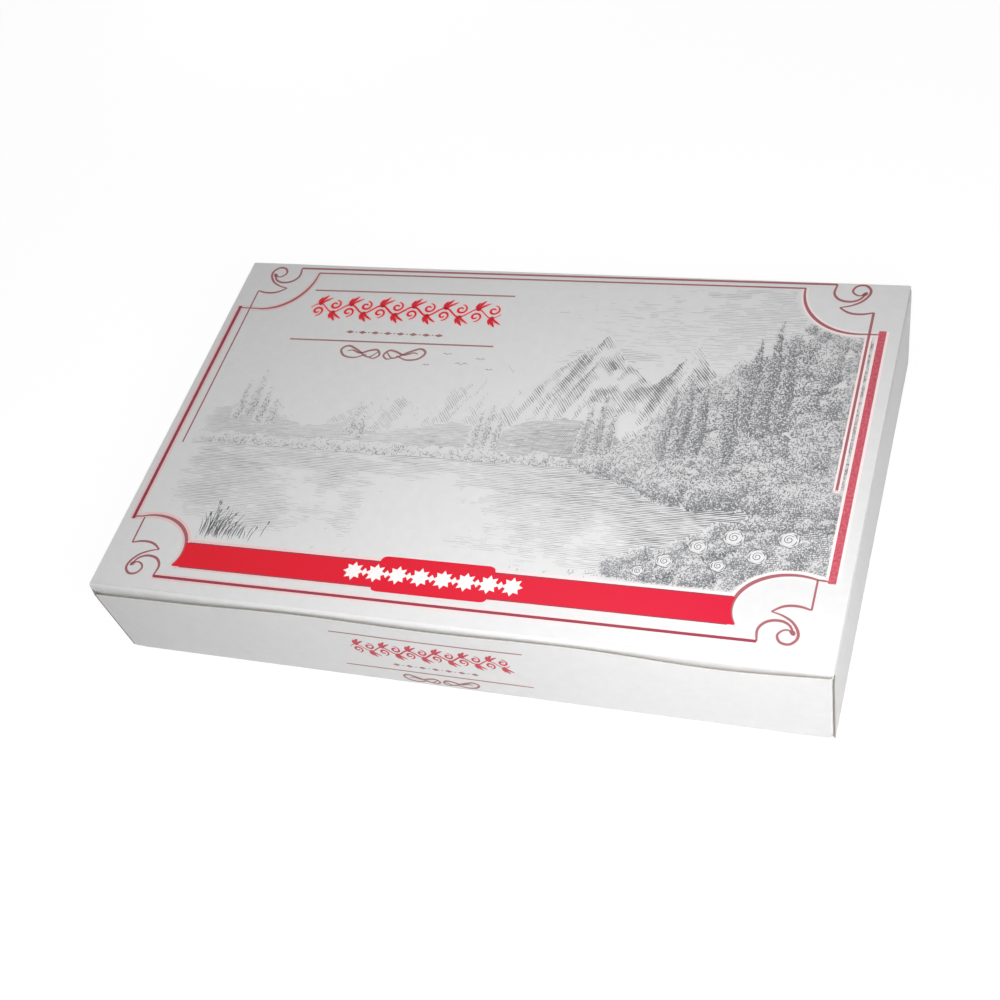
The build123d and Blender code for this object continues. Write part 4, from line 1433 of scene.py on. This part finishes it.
def make_liner():
    """A sheet of greaseproof paper pressed into the tray, its sides upright and its corners folded flat."""
    half_x, half_y = LINER_HIGH[0] - 0.4, LINER_HIGH[1] - 0.4
    floor, height = LINER_LOW[2] + 0.08, LINER_HIGH[2] - LINER_LOW[2] - 0.8
    xs, ys = spaced(-half_x, half_x, 2.5), spaced(-half_y, half_y, 2.5)
    up = np.array([0, 0.04, 0.12, 0.25, 0.4, 0.55, 0.7, 0.85, 1.0])
    parts, quads, count = [], [], 0

    def add(points):
        nonlocal count
        parts.append(points.reshape(-1, 3))
        quads.append(grid_quads(*points.shape[:2], first=count))
        count += len(parts[-1])

    x, y = np.meshgrid(xs, ys)
    add(np.stack([x, y, floor + 0.1 * crinkles(x, y, 301)], 2))

    def side(along, place, seed):
        """One standing side: along its foot, and place(along, inwards, height) puts its points."""
        s, t = np.meshgrid(along, up)
        edge = 1 - 0.10 * layered_noise(s / 9, s * 0 + seed, 311, 3)
        lean = (0.25 + 0.9 * crinkles(s, t * height + seed, 317)) * np.minimum(t * 3, 1)
        return place(s, lean, t * height * edge)

    def on_x(sign):
        return lambda s, inward, z: np.stack([sign * (half_x - inward * 0.7), s, floor + z], 2)

    def on_y(sign):
        return lambda s, inward, z: np.stack([s, sign * (half_y - inward * 0.7), floor + z], 2)

    for k, sign in enumerate((-1, 1)):
        add(side(ys, on_x(sign), 3 + k))
        add(side(xs, on_y(sign), 7 + k))
        for end in (-1, 1):
            for layer in (0.35, 0.7):
                s, t = np.meshgrid(np.linspace(0, 1, 7), np.maximum(up, 0.03))
                inwards = layer + 0.9 * crinkles(s * 9, t * 9, 331 + k)
                add(on_y(sign)(end * (half_x - 0.3 - s * t * height), inwards, t * height))
    liner = mesh_object("greaseproof_liner", np.concatenate(parts) * MM, np.concatenate(quads), [GREASEPROOF])
    thickness = liner.modifiers.new("paper_thickness", "SOLIDIFY")
    thickness.thickness, thickness.offset = 0.06 * MM, 0.0
    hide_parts("paper_liner")
    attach(liner, "base")


# ---------------------------------------- stage, light and camera

def is_seen(tree):
    """1 where the surroundings are looked at, straight, mirrored or through something. 0 for their light."""
    rays = add_node(tree, "ShaderNodeLightPath").outputs
    direct = {0: rays["Is Camera Ray"], 1: rays["Is Glossy Ray"]}
    either = add_node(tree, "ShaderNodeMath", direct, operation="MAXIMUM").outputs["Value"]
    through = {0: either, 1: rays["Is Transmission Ray"]}
    return add_node(tree, "ShaderNodeMath", through, operation="MAXIMUM").outputs["Value"]


FLOOR_HALF = 3.0  # metres
FLOOR_SINK = 0.0002  # metres under the carton's base
FLOOR_GLOW, GLOW_SHARE = 1.07, 0.88


def make_stage():
    """A plain pale floor: bright to the camera, and it keeps the carton's shadow."""

    def build(tree):
        share = {0: is_seen(tree), 1: GLOW_SHARE}
        floor = add_node(tree, "ShaderNodeBsdfDiffuse", {"Color": colour("#E8E8E8")})
        white = add_node(tree, "ShaderNodeEmission", {"Color": colour("#FFFFFF"), "Strength": FLOOR_GLOW})
        sides = {"Fac": add_node(tree, "ShaderNodeMath", share, operation="MULTIPLY").outputs["Value"]}
        sides |= {1: floor.outputs["BSDF"], 2: white.outputs["Emission"]}
        return add_node(tree, "ShaderNodeMixShader", sides).outputs["Shader"]

    corners = [(x * FLOOR_HALF, y * FLOOR_HALF, -FLOOR_SINK) for x, y in ((-1, -1), (1, -1), (1, 1), (-1, 1))]
    mesh_object("floor", corners, [(0, 1, 2, 3)], [surface_material("pale_floor", build)])


def make_camera():
    """The photograph's viewpoint, placed by fitting the carton's seven visible corners."""
    data = bpy.data.cameras.new("camera")
    camera = bpy.data.objects.new("camera", data)
    scene.collection.objects.link(camera)
    camera.location = (0.1747, -0.3058, 0.3891)
    camera.rotation_euler = [math.radians(a) for a in (30.422, 10.894, 15.360)]
    data.sensor_width = 36.0
    data.lens = 48.0
    data.shift_x, data.shift_y = -0.0520, 0.2427
    scene.camera = camera


def make_lamp(name, place, size, power):
    """A square softbox turned to the carton's middle."""
    lamp = bpy.data.lights.new(name, "AREA")
    lamp.shape, lamp.size, lamp.energy = "SQUARE", size, power
    holder = bpy.data.objects.new(name, lamp)
    scene.collection.objects.link(holder)
    holder.location = place
    holder.rotation_euler = (Vector((0.0, 0.0, 0.02)) - Vector(place)).to_track_quat("-Z", "Y").to_euler()


WORLD_LIGHT = 0.15

# Each lamp's place in metres, its size in metres and its power in watts
LAMPS = {
    "overhead_softbox": ((-0.20, -0.22, 0.80), 0.5, 1.80),
    "front_key": ((0.15, -0.25, 0.25), 0.15, 0.73),
    "right_key": ((0.22, -0.16, 0.25), 0.1, 0.32),
    "side_fill": ((0.21, -0.085, 0.045), 0.04, 0.007),
    "middle_fill": ((0.0, -0.01, 0.20), 0.12, 0.042),
    "back_fill": ((-0.25, 0.45, 0.035), 0.06, 0.35),
}


def make_lights():
    """Soft boxes nearest the front right corner, where the photograph is brightest, in a white studio."""
    world = bpy.data.worlds.new("studio")
    world.use_nodes = True
    tree = world.node_tree
    strength = add_node(tree, "ShaderNodeMapRange", {"Value": is_seen(tree), "To Min": WORLD_LIGHT})
    background = tree.nodes["Background"].inputs
    background["Color"].default_value = colour("#FFFFFF")
    tree.links.new(strength.outputs["Result"], background["Strength"])
    scene.world = world
    for name, (place, size, power) in LAMPS.items():
        make_lamp(name, place, size, power)


make_boards()
make_frame_print()
make_ornaments()
make_engraving()
make_sweets()
make_liner()
make_stage()
make_camera()
make_lights()
scene.view_settings.view_transform = "Standard"

bpy.context.view_layer.update()
